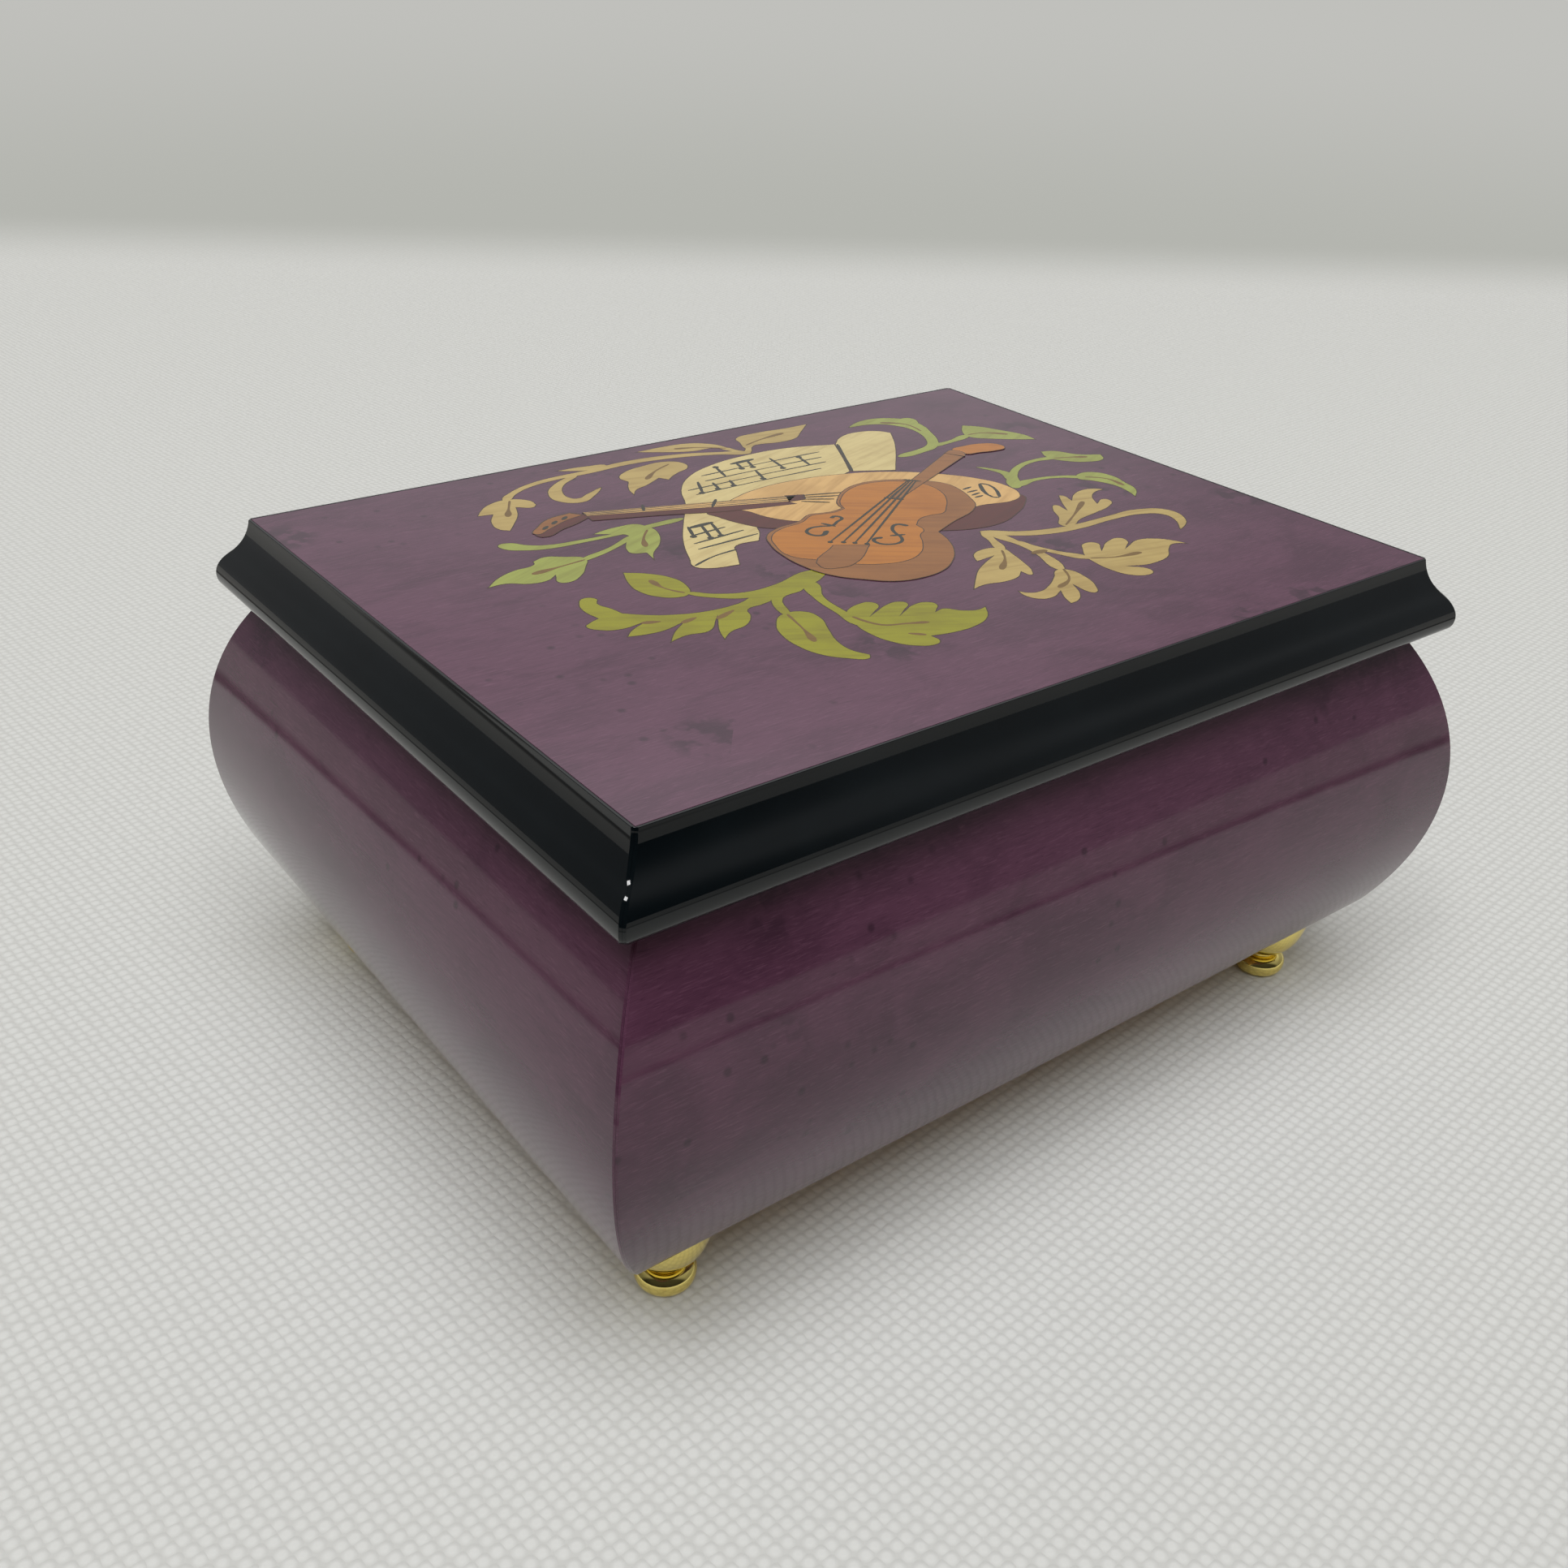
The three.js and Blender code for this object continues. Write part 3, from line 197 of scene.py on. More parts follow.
class MovementSizes(bpy.types.PropertyGroup):
    """Sizes of small details of the movement"""

    edge: length("Edge", "Rounding of a worked edge", 0.15)
    pin: length("Pin", "Radius of a music pin", 0.13)
    pin_height: length("Pin height", "How far a music pin stands out", 0.42)
    comb_margin: length("Comb margin", "Plain steel at each end of the comb", 0.5)
    slot: length("Slot", "Width and depth of a screw's slot", 0.5)
    pane_edge: length("Pane edge", "Rounding of the clear pane's edges", 0.25)


class Colours(bpy.types.PropertyGroup):
    """Colours of the finishes"""

    burl_deep: tint("Burl deep", "Dark figure of the dyed veneer", 66, 36, 55)
    burl: tint("Burl", "Body of the dyed veneer", 96, 58, 80)
    burl_light: tint("Burl light", "Light fibres of the dyed veneer", 122, 82, 104)
    burl_eye: tint("Burl eye", "Eyes in the veneer's figure", 46, 25, 40)
    # The blue-green cast in both lacquer colours is a painted cool reflection; the greying by dust is the
    # lacquer's own
    lacquer: tint("Lacquer", "Black lacquer", 5, 10, 13)
    lacquer_dust: tint("Lacquer dust", "Black lacquer where dust greys it", 9, 15, 18)
    brass: tint("Brass", "Polished brass", 252, 232, 140)
    brass_deep: tint("Brass deep", "Brass in its faint stains", 205, 160, 66)
    velvet: tint("Velvet", "Velvet's pile", 88, 8, 24)
    velvet_deep: tint("Velvet deep", "Velvet between its tufts", 44, 4, 14)
    wood: tint("Wood", "Bare plywood", 190, 152, 104)
    wood_deep: tint("Wood deep", "Plywood's grain", 142, 102, 62)
    zinc: tint("Zinc", "Cast zinc", 176, 177, 178)
    steel: tint("Steel", "Ground steel", 200, 202, 206)
    saw_line: tint("Saw line", "Dark line round an inlaid piece", 66, 46, 28)
    ink: tint("Ink", "Drawn lines on the inlay", 46, 44, 30)
    vein: tint("Vein", "Brown veins in the leaves", 122, 92, 34)
    green: tint("Green", "Yellow-green leaves", 150, 147, 2)
    pale_green: tint("Pale green", "Pale green leaves", 158, 166, 74)
    cream: tint("Cream", "Cream leaves", 192, 166, 98)
    score: tint("Score", "Sheet of music", 220, 200, 138)
    peach: tint("Peach", "Mandolin's top and fingerboard", 224, 180, 112)
    rosewood: tint("Rosewood", "Mandolin's bowl and neck", 88, 28, 20)
    amber: tint("Amber", "Violin's front and scroll", 190, 118, 28)
    walnut: tint("Walnut", "Violin's ribs and board, and the mandolin's head", 152, 98, 44)


class StageSettings(bpy.types.PropertyGroup):
    """Camera, floor and light"""

    camera_x: length("Camera X", "Camera's place along X", -146.3)
    camera_y: length("Camera Y", "Camera's place along Y", -174.5)
    camera_z: length("Camera Z", "Camera's height", 163.45)
    heading: degrees("Heading", "Camera's heading from +Y towards +X", 38.18)
    downward: degrees("Downward", "How far the camera looks down", 29.55)
    roll: degrees("Roll", "How far the camera leans", 2.26)
    lens: amount("Lens", "Focal length on the sensor below", 36.31, "CAMERA")
    sensor: amount("Sensor", "Width of the camera's sensor", 36, "CAMERA")
    floor: tint("Floor", "Pale floor", 220, 220, 217)
    floor_radius: length("Floor radius", "Radius of the floor", 4000)
    floor_end: length("Floor end", "How far behind the box the floor begins to end", 540)
    floor_gone: length("Floor gone", "How far behind the box nothing of the floor is left", 675)
    floor_heading: degrees("Floor heading", "Direction of the floor's end, from +Y towards +X", 33.9)
    sheet_end: length("Sheet end", "How far from the box gloss still mirrors the pale sheet", 290)
    sheet_line: length("Sheet line", "Width of the dark line that gloss mirrors past the sheet", 55)
    sheet_edge: tint("Sheet edge", "That line's colour", 95, 90, 88)
    past_sheet: tint("Past sheet", "What gloss mirrors of the floor past that line", 190, 188, 184)
    weave: length("Weave", "Pitch of the floor cloth's weave", 1.77)
    weave_turn: degrees("Weave turn", "Turn of the floor cloth's weave", -7)
    weave_relief: length("Weave relief", "Depth of the gaps between its raised dots", 0.25)
    # Painted shade: the floor cloth is coloured darker in the gaps between its raised dots
    weave_gap: tint("Weave gap", "Floor cloth between its raised dots", 170, 169, 164)
    backdrop: tint("Backdrop", "What the camera sees just past the floor", 180, 181, 175)
    backdrop_top: tint("Backdrop top", "What it sees at the top of the picture", 192, 192, 188)
    lamp_tilt: degrees("Lamp tilt", "How far the soft lamp hangs from straight above to the viewer", 17.5)
    lamp_spread: degrees("Lamp spread", "How wide the soft lamp looks from the box", 56)
    lamp_strength: amount("Lamp strength", "Strength of the soft lamp", 2.55)
    lamp_tint: tint("Lamp tint", "Colour of the soft lamp", 249, 252, 255)
    glint_power: amount("Glint power", "Power of the small lamp on the left", 0.5, "POWER")
    glint_size: length("Glint size", "Side of that lamp", 80)
    glint_place: bpy.props.FloatVectorProperty(
        name="Glint place", description="Where that lamp hangs", default=(-0.47, -0.18, 0.96),
        size=3, subtype="TRANSLATION", unit="LENGTH",
    )
    room_light: amount("Room light", "Light that the room itself gives", 0.2)
    room_tint: tint("Room tint", "Colour of the room's own light", 255, 243, 222)


class Value:
    """A shader socket that Python's operators work on; each expression adds its Math nodes"""

    def __init__(self, nodes, socket):
        self.nodes = nodes
        self.socket = socket

    def math(self, operation, first, second):
        return self.nodes.add("ShaderNodeMath", {"operation": operation}, {0: first, 1: second})

    def __add__(self, other):
        return self.math("ADD", self, other)

    def __radd__(self, other):
        return self.math("ADD", other, self)

    def __sub__(self, other):
        return self.math("SUBTRACT", self, other)

    def __rsub__(self, other):
        return self.math("SUBTRACT", other, self)

    def __mul__(self, other):
        return self.math("MULTIPLY", self, other)

    def __rmul__(self, other):
        return self.math("MULTIPLY", other, self)


class Nodes:
    """The node tree of one finish, or of the world"""

    def __init__(self, owner):
        owner.use_nodes = True
        self.owner = owner
        self.tree = owner.node_tree
        self.tree.nodes.clear()

    def add(self, kind, settings=None, sockets=None, output=0):
        """Add one node: its settings first, then the values or links of its sockets, and give its output"""
        made = self.tree.nodes.new(kind)
        for name, value in (settings or {}).items():
            setattr(made, name, value)
        for name, value in (sockets or {}).items():
            if isinstance(value, Value):
                self.tree.links.new(value.socket, made.inputs[name])
            else:
                made.inputs[name].default_value = value
        return Value(self, made.outputs[output]) if made.outputs else None

    def place(self, scale=(1, 1, 1), turn=(0, 0, 0)):
        """A spot on the piece, turned and then scaled"""
        spot = self.add("ShaderNodeTexCoord", output=3)
        turned = self.add("ShaderNodeMapping", {}, {"Vector": spot, "Rotation": turn})
        return self.add("ShaderNodeMapping", {}, {"Vector": turned, "Scale": scale})

    def noise(self, spot, scale, detail=2.0, roughness=0.5, distortion=0.0):
        sockets = {"Vector": spot, "Scale": scale, "Detail": detail, "Roughness": roughness}
        sockets["Distortion"] = distortion
        return self.add("ShaderNodeTexNoise", {}, sockets)

    def cells(self, spot, scale, output=0, scatter=1.0):
        """Distance to the nearest of many points, or with output 1 that point's own number"""
        sockets = {"Vector": spot, "Scale": scale, "Randomness": scatter}
        return self.add("ShaderNodeTexVoronoi", {"feature": "F1"}, sockets, output)

    def along(self, way, direction):
        """How far a vector goes in a direction"""
        sockets = {0: way, 1: direction}
        return self.add("ShaderNodeVectorMath", {"operation": "DOT_PRODUCT"}, sockets, output=1)

    def fade(self, value, low, high, to_low=0.0, to_high=1.0):
        """Fade smoothly from one number to another as a value goes from low to high"""
        sockets = {"Value": value, "From Min": low, "From Max": high}
        sockets.update({"To Min": to_low, "To Max": to_high})
        return self.add("ShaderNodeMapRange", {"interpolation_type": "SMOOTHSTEP"}, sockets)

    def mix(self, share, first, second):
        """Mix two colours"""
        colours = [c if isinstance(c, Value) else (*c, 1.0) for c in (first, second)]
        sockets = {0: share, 6: colours[0], 7: colours[1]}
        return self.add("ShaderNodeMix", {"data_type": "RGBA"}, sockets, output=2)

    def bump(self, height, distance, strength=1.0):
        sockets = {"Height": height, "Distance": distance, "Strength": strength}
        return self.add("ShaderNodeBump", {}, sockets)

    def surface(self, **sockets):
        """Finish the tree with a surface shader, its sockets named with _ for a space"""
        named = {name.replace("_", " "): value for name, value in sockets.items()}
        return self.finished(self.add("ShaderNodeBsdfPrincipled", {}, named))

    def finished(self, shader, kind="ShaderNodeOutputMaterial"):
        """Let a shader out of the tree, and give the material or world that owns it"""
        self.add(kind, {}, {"Surface": shader})
        return self.owner


def colours():
    return bpy.context.scene.jewelbox_colours


def fresh(name):
    return Nodes(bpy.data.materials.new(name))


EYES_PER_METRE = 60


def dyed_burl(name, turn, depth=1.0):
    """Burl veneer dyed plum, under clear gloss lacquer"""
    tints = colours()
    deep, mid, light, eye = (
        tuple(level * depth for level in shade)
        for shade in (tints.burl_deep, tints.burl, tints.burl_light, tints.burl_eye)
    )
    nodes = fresh(name)
    swing = (0, 0, turn)
    spot = nodes.place(turn=swing)
    # Broad clouds, bands along the grain and fine fibres
    drift = nodes.noise(nodes.place((14, 26, 26), swing), 1, detail=3, roughness=0.55, distortion=0.8)
    clouds = nodes.noise(nodes.place((60, 90, 90), swing), 1, detail=4, roughness=0.6, distortion=1.0)
    bands = nodes.noise(nodes.place((50, 420, 420), swing), 1, detail=3, roughness=0.6, distortion=1.5)
    fibres = nodes.noise(nodes.place((420, 4300, 4300), swing), 1, detail=2, roughness=0.6, distortion=0.9)
    body = nodes.fade(drift * 0.45 + clouds * 0.55, 0.36, 0.6, 0.4, 1.0)
    colour = nodes.mix(body, deep, mid)
    colour = nodes.mix(nodes.fade(bands, 0.48, 0.72) * 0.25, colour, deep)
    colour = nodes.mix(nodes.fade(fibres, 0.5, 0.76) * 0.4, colour, light)
    colour = nodes.mix(nodes.fade(fibres, 0.46, 0.26) * 0.4, colour, deep)
    # Broken rings round about half of the eyes, fainter on dark veneer, and small dots in patches
    bent = nodes.noise(spot, 330, 2)
    eyes = nodes.cells(spot, EYES_PER_METRE) + (bent - 0.5) * 0.3
    chosen = nodes.fade(nodes.cells(spot, EYES_PER_METRE, output=1), 0.48, 0.52)
    rings = nodes.fade(eyes, 0.4, 0.22) * nodes.fade(eyes, 0.02, 0.14) * nodes.fade(bent, 0.44, 0.58)
    colour = nodes.mix(rings * chosen * (0.62 * depth * depth), colour, eye)
    dots = nodes.fade(nodes.cells(spot, 240), 0.2, 0.06) * nodes.fade(nodes.noise(spot, 34), 0.5, 0.6)
    colour = nodes.mix(dots * 0.6, colour, eye)
    return nodes.surface(
        Base_Color=colour,
        Roughness=nodes.fade(clouds, 0.3, 0.7, 0.07, 0.1),
        IOR=1.5,
        Normal=nodes.bump(nodes.noise(spot, 75, 1.5), 0.035 * MM),
    )


def black_lacquer(name):
    """Deep black gloss, with a breath of dust in it; the blue of both its colours is a painted cool
    reflection
    """
    tints = colours()
    nodes = fresh(name)
    spot = nodes.place()
    haze = nodes.noise(spot, 60, detail=3, roughness=0.6)
    # Dust greys the lacquer in patches; both colours carry a painted cool reflection's blue
    colour = nodes.mix(nodes.fade(haze, 0.35, 0.75), tints.lacquer, tints.lacquer_dust)
    return nodes.surface(
        Base_Color=colour,
        Roughness=nodes.fade(haze, 0.3, 0.7, 0.03, 0.06),
        IOR=1.42,
        Normal=nodes.bump(nodes.noise(spot, 60, 1), 0.02 * MM),
    )


def polished_brass(name, dull=0.0):
    """Polished brass, browner in its faint stains"""
    tints = colours()
    nodes = fresh(name)
    spot = nodes.place()
    stains = nodes.noise(spot, 260, detail=4, roughness=0.65, distortion=0.5)
    rings = nodes.noise(nodes.place((120, 120, 5200)), 1, 2)
    colour = nodes.mix(nodes.fade(stains, 0.52, 0.8) * 0.6, tints.brass, tints.brass_deep)
    return nodes.surface(
        Base_Color=colour,
        Metallic=1.0,
        Roughness=nodes.fade(stains, 0.35, 0.75, 0.05 + dull, 0.12 + dull),
        Normal=nodes.bump(rings, 0.004 * MM),
    )


def plain_metal(name, colour, rough, cast):
    """Cast zinc or ground steel"""
    nodes = fresh(name)
    spot = nodes.place()
    patches = nodes.noise(spot, 320, detail=4, roughness=0.6)
    marks = nodes.noise(nodes.place((300, 6000, 6000)), 1, 2)
    relief = nodes.noise(spot, 2600, 3) if cast else marks
    shade = tuple(level * 0.62 for level in colour)
    return nodes.surface(
        Base_Color=nodes.mix(nodes.fade(patches, 0.4, 0.8) * 0.6, colour, shade),
        Metallic=1.0,
        Roughness=nodes.fade(patches, 0.3, 0.7, rough * 0.8, rough * 1.3),
        Normal=nodes.bump(relief, (0.03 if cast else 0.006) * MM),
    )


def velvet(name):
    """Short cotton velvet with a brushed nap"""
    tints = colours()
    nodes = fresh(name)
    spot = nodes.place()
    brushed = nodes.noise(nodes.place((26, 44, 44)), 1, detail=3, roughness=0.6, distortion=1.0)
    pile = nodes.noise(spot, 5200, detail=2, roughness=0.7)
    tufts = nodes.cells(spot, 2600)
    colour = nodes.mix(nodes.fade(brushed, 0.3, 0.72) * 0.75, tints.velvet_deep, tints.velvet)
    colour = nodes.mix(nodes.fade(tufts, 0.2, 0.7) * 0.35, colour, tints.velvet_deep)
    return nodes.surface(
        Base_Color=colour,
        Roughness=0.95,
        Sheen_Weight=0.45,
        Sheen_Roughness=0.35,
        Sheen_Tint=(0.9, 0.28, 0.36, 1.0),
        Specular_IOR_Level=0.15,
        Normal=nodes.bump(pile * 0.6 + tufts * 0.4, 0.12 * MM),
    )


def bare_wood(name):
    """Plain plywood, sanded"""
    tints = colours()
    nodes = fresh(name)
    bands = nodes.noise(nodes.place((14, 260, 260)), 1, detail=4, roughness=0.6, distortion=1.6)
    pores = nodes.noise(nodes.place((300, 5200, 5200)), 1, 2)
    colour = nodes.mix(nodes.fade(bands, 0.35, 0.7) * 0.8, tints.wood, tints.wood_deep)
    colour = nodes.mix(nodes.fade(pores, 0.6, 0.76) * 0.4, colour, tints.wood_deep)
    return nodes.surface(
        Base_Color=colour, Roughness=0.62, Normal=nodes.bump(pores, 0.02 * MM, 0.6),
    )


def inlay_wood(name, colour, turn):
    """Thin sawn wood of one colour, let into the veneer under the same lacquer"""
    nodes = fresh(name)
    swing = (0, 0, turn)
    spot = nodes.place(turn=swing)
    bands = nodes.noise(
        nodes.place((40, 620, 620), swing), 1, detail=4, roughness=0.6, distortion=0.9
    )
    shading = nodes.noise(spot, 90, detail=3, roughness=0.6)
    deep = tuple(level * share for level, share in zip(colour, (0.6, 0.52, 0.42)))
    mixed = nodes.mix(nodes.fade(bands, 0.42, 0.75) * 0.55, colour, deep)
    mixed = nodes.mix(nodes.fade(shading, 0.42, 0.72) * 0.4, mixed, deep)
    return nodes.surface(
        Base_Color=mixed, Roughness=0.14, IOR=1.5, Normal=nodes.bump(bands, 0.006 * MM),
    )


def clear_acrylic(name):
    """Clear pane that mirrors a little, more towards the edge of sight, with faint scuffs"""
    nodes = fresh(name)
    scuffs = nodes.noise(nodes.place((900, 90, 900)), 1, 3)
    clear = nodes.add("ShaderNodeBsdfTransparent", {}, {"Color": (0.94, 0.97, 0.97, 1.0)})
    scuffed = nodes.fade(scuffs, 0.5, 0.8, 0.02, 0.1)
    gloss = nodes.add("ShaderNodeBsdfGlossy", {}, {"Roughness": scuffed})
    edgeward = nodes.add("ShaderNodeLayerWeight", {}, {"Blend": 0.5}, "Facing")
    steep = edgeward * edgeward
    mirrored = steep * steep * 0.5 + 0.04
    pane = nodes.add("ShaderNodeMixShader", {}, {0: mirrored, 1: clear, 2: gloss})
    return nodes.finished(pane)


# The walls' veneer as a share of the lid's brightness
WALL_DEPTH = 0.76

# How far the grain of each inlaid wood is turned
GRAIN_TURNS = {
    "saw_line": 0.0, "ink": 0.0, "vein": 0.7, "green": 0.5, "pale_green": -0.4, "cream": 0.2,
    "score": -0.3, "peach": -0.5, "rosewood": -0.4, "amber": 0.6, "walnut": 0.6,
}

# Each other finish by the name that pieces ask for it
FINISHES = {
    "burl_lid": lambda label: dyed_burl(label, 0.0),
    "burl_along": lambda label: dyed_burl(label, 0.0, WALL_DEPTH),
    "burl_across": lambda label: dyed_burl(label, math.pi / 2, WALL_DEPTH),
    "black_lacquer": black_lacquer,
    "foot_brass": polished_brass,
    "work_brass": lambda label: polished_brass(label, dull=0.08),
    "cast_zinc": lambda label: plain_metal(label, colours().zinc, rough=0.42, cast=True),
    "ground_steel": lambda label: plain_metal(label, colours().steel, rough=0.22, cast=False),
    "velvet": velvet,
    "bare_wood": bare_wood,
    "clear_acrylic": clear_acrylic,
}


def finish(name):
    """The finish of that name, made when the first piece asks for it"""
    label = "jewelbox_" + name
    made = bpy.data.materials.get(label)
    if made:
        return made
    if name in GRAIN_TURNS:
        return inlay_wood(label, getattr(colours(), name), GRAIN_TURNS[name])
    return FINISHES[name](label)


class Outline:
    """An outline in the XZ plane, drawn by extruding and spinning one vertex"""

    def __init__(self, across, up):
        self.bm = bmesh.new()
        self.start = self.bm.verts.new((across, 0, up))
        self.pen = self.start

    def line(self, across, up):
        made = bmesh.ops.extrude_vert_indiv(self.bm, verts=[self.pen])
        self.pen = made["verts"][0]
        self.pen.co = (across, 0, up)
        return self

    def arc(self, across, up, angle, steps):
        """Turn about a centre, from +X towards +Z"""
        made = bmesh.ops.spin(
            self.bm, geom=[self.pen], cent=(across, 0, up), axis=(0, -1, 0), angle=angle, steps=steps
        )
        self.pen = next(item for item in made["geom_last"] if isinstance(item, bmesh.types.BMVert))
        return self

    def bend(self, corner, end, steps=8):
        """Curve to an end point, pulled towards a corner"""
        begin = self.pen.co.copy()
        pull = Vector((corner[0], 0, corner[1]))
        last = Vector((end[0], 0, end[1]))
        handles = begin.lerp(pull, 2 / 3), last.lerp(pull, 2 / 3)
        for point in geometry.interpolate_bezier(begin, *handles, last, steps + 1)[1:]:
            self.line(point.x, point.z)
        return self

    def face(self):
        """Close the outline and fill it"""
        self.bm.edges.new((self.pen, self.start))
        bmesh.ops.contextual_create(self.bm, geom=self.bm.edges[:])
        return self.bm


def verts_of(geom):
    return [item for item in geom if isinstance(item, bmesh.types.BMVert)]


def edges_of(geom):
    return [item for item in geom if isinstance(item, bmesh.types.BMEdge)]


def whole(bm):
    return bm.verts[:] + bm.edges[:] + bm.faces[:]


def shift(bm, by):
    bmesh.ops.translate(bm, verts=bm.verts, vec=by)


def swivel(bm, angle, axis):
    bmesh.ops.rotate(bm, verts=bm.verts, cent=(0, 0, 0), matrix=Matrix.Rotation(angle, 3, axis))


def round_over(bm, edges, width, segments):
    bmesh.ops.bevel(
        bm, geom=edges, offset=width, offset_type="OFFSET", affect="EDGES", segments=segments,
        profile=0.5, material=-1, clamp_overlap=True,
    )


def on_mitre(edge):
    """True for an edge of a face that meets its neighbour in a mitre"""
    upright = [face.normal for face in edge.link_faces if abs(face.normal.z) < NEARLY]
    return any(abs(abs(normal.x) - abs(normal.y)) < NEARLY for normal in upright)


def soften(bm, width, keep_mitres=False):
    """Round the sharp edges a little"""
    sharp = [edge for edge in bm.edges if edge.is_manifold and edge.calc_face_angle(0) > SHARP_ANGLE]
    if keep_mitres:
        sharp = [edge for edge in sharp if not on_mitre(edge)]
    round_over(bm, sharp, width, segments=2)


def set_shading(bm):
    for face in bm.faces:
        face.smooth = True
    for edge in bm.edges:
        edge.smooth = edge.is_manifold and edge.calc_face_angle(0) < SMOOTH_ANGLE


def stand_up(name, bm, finishes):
    """Turn a bmesh into an object at the origin"""
    mesh = bpy.data.meshes.new(name)
    set_shading(bm)
    bm.to_mesh(mesh)
    bm.free()
    for kind in finishes:
        mesh.materials.append(finish(kind))
    obj = bpy.data.objects.new(name, mesh)
    bpy.context.scene.collection.objects.link(obj)
    return obj


def fit(obj, body, instead_of=()):
    """Let a piece ride on its body, in the place of the nodes that it stands for"""
    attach(obj, body)
    if instead_of:
        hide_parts(*instead_of)
    return obj


def keep_flats(obj):
    """Keep broad faces flat beside their rounded edges"""
    flats = obj.modifiers.new("flats", "WEIGHTED_NORMAL")
    flats.keep_sharp = True
    return obj


def node_copy(node):
    """A merged copy of a node's mesh, with its flat faces whole"""
    bm = bmesh.new()
    bm.from_mesh(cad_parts[node].data)
    bmesh.ops.remove_doubles(bm, verts=bm.verts[:], dist=MERGE)
    bmesh.ops.dissolve_limit(bm, angle_limit=FLAT_ANGLE, verts=bm.verts[:], edges=bm.edges[:])
    return bm


def dressed(node, name, kind, body, width):
    """A node's own shape, with its edges rounded and its finish on"""
    bm = node_copy(node)
    soften(bm, width)
    return keep_flats(fit(stand_up(name, bm, [kind]), body, [node]))


def evaluated_mesh(obj):
    made = obj.evaluated_get(bpy.context.evaluated_depsgraph_get())
    return bpy.data.meshes.new_from_object(made)


def block(low, high):
    """A box between two corners"""
    bm = bmesh.new()
    bmesh.ops.create_cube(bm, size=1)
    low, high = Vector(low), Vector(high)
    bmesh.ops.scale(bm, vec=high - low, verts=bm.verts)
    shift(bm, (low + high) / 2)
    return bm


def carve(obj, cutters):
    """Cut boxes out of an object"""
    for low, high in cutters:
        tool = stand_up("cutter", block(low, high), [])
        cut = obj.modifiers.new("cut", "BOOLEAN")
        cut.operation = "DIFFERENCE"
        cut.solver = "EXACT"
        cut.object = tool
        carved = evaluated_mesh(obj)
        obj.modifiers.remove(cut)
        obj.data = carved
        bpy.data.objects.remove(tool)


def turned(outline, steps):
    """Spin an outline about Z into a closed form"""
    bm = outline.bm
    bmesh.ops.spin(
        bm, geom=bm.verts[:] + bm.edges[:], cent=(0, 0, 0), axis=(0, 0, 1),
        angle=2 * math.pi, steps=steps, use_merge=True,
    )
    bmesh.ops.remove_doubles(bm, verts=bm.verts[:], dist=MERGE)
    bmesh.ops.recalc_face_normals(bm, faces=bm.faces[:])
    return bm


def lid_half():
    """Half the lid top's length and width"""
    lip = bpy.context.scene.jewelbox_lid.lip
    return VENEER_HIGH.x + lip, VENEER_HIGH.y + lip


def sides():
    """Each side's name, turn, half run and distance from the middle"""
    along, across = lid_half()
    return (
        ("front", 0.0, along, across),
        ("right", math.pi / 2, across, along),
        ("back", math.pi, along, across),
        ("left", -math.pi / 2, across, along),
    )


def mitred(outline, turn, run, across, gap, corner, skin):
    """Extrude a section along one side of the box, cut a mitre at each end and ease its outside"""
    bm = outline.face()
    swivel(bm, -math.pi / 2, "Z")
    shift(bm, (-2 * run, -across, 0))
    made = bmesh.ops.extrude_face_region(bm, geom=bm.faces[:])
    bmesh.ops.translate(bm, verts=verts_of(made["geom"]), vec=(4 * run, 0, 0))
    end = run - gap / 2
    for hand in (-1, 1):
        cut = bmesh.ops.bisect_plane(
            bm, geom=whole(bm), plane_co=(hand * end, -across, 0), plane_no=(hand, 1, 0), clear_outer=True,
        )
        bmesh.ops.edgeloop_fill(bm, edges=edges_of(cut["geom_cut"]))
        ease_corner(bm, hand, end, across, corner, skin)
    bmesh.ops.recalc_face_normals(bm, faces=bm.faces[:])
    swivel(bm, turn, "Z")
    return bm


def ease_corner(bm, hand, run, across, corner, skin):
    """Sand a small flat on the outside of a mitre, rounded where it begins"""
    for share in (0, EASE_ROUND / 2, EASE_ROUND):
        bmesh.ops.bisect_plane(
            bm, geom=whole(bm), plane_co=(hand * (run - corner * (1 - share)), -across, 0),
            plane_no=(hand, 1, 0),
        )
    step = corner / (2 - EASE_ROUND / 2)
    for vert in bm.verts:
        reach = -across - vert.co.y
        away = run + reach - hand * vert.co.x
        if reach > skin(vert.co.z) - SKIN_DEPTH and away < corner + MERGE:
            share = max(0.0, 1 - away / corner)
            rounded = share * share / (2 * EASE_ROUND)
            sunk = rounded if share < EASE_ROUND else share - EASE_ROUND / 2
            vert.co.x = hand * (run + reach - corner + step * share)
            vert.co.y = -across - reach + step * sunk


def hinge_places():
    """Where the room for each hinge begins and ends along the back"""
    sizes = bpy.context.scene.jewelbox_hinge
    middle = (PIN_LOW.x + PIN_HIGH.x) / 2
    half = sizes.run / 2 + sizes.play
    return [(hand * middle - half, hand * middle + half) for hand in (1, -1)]


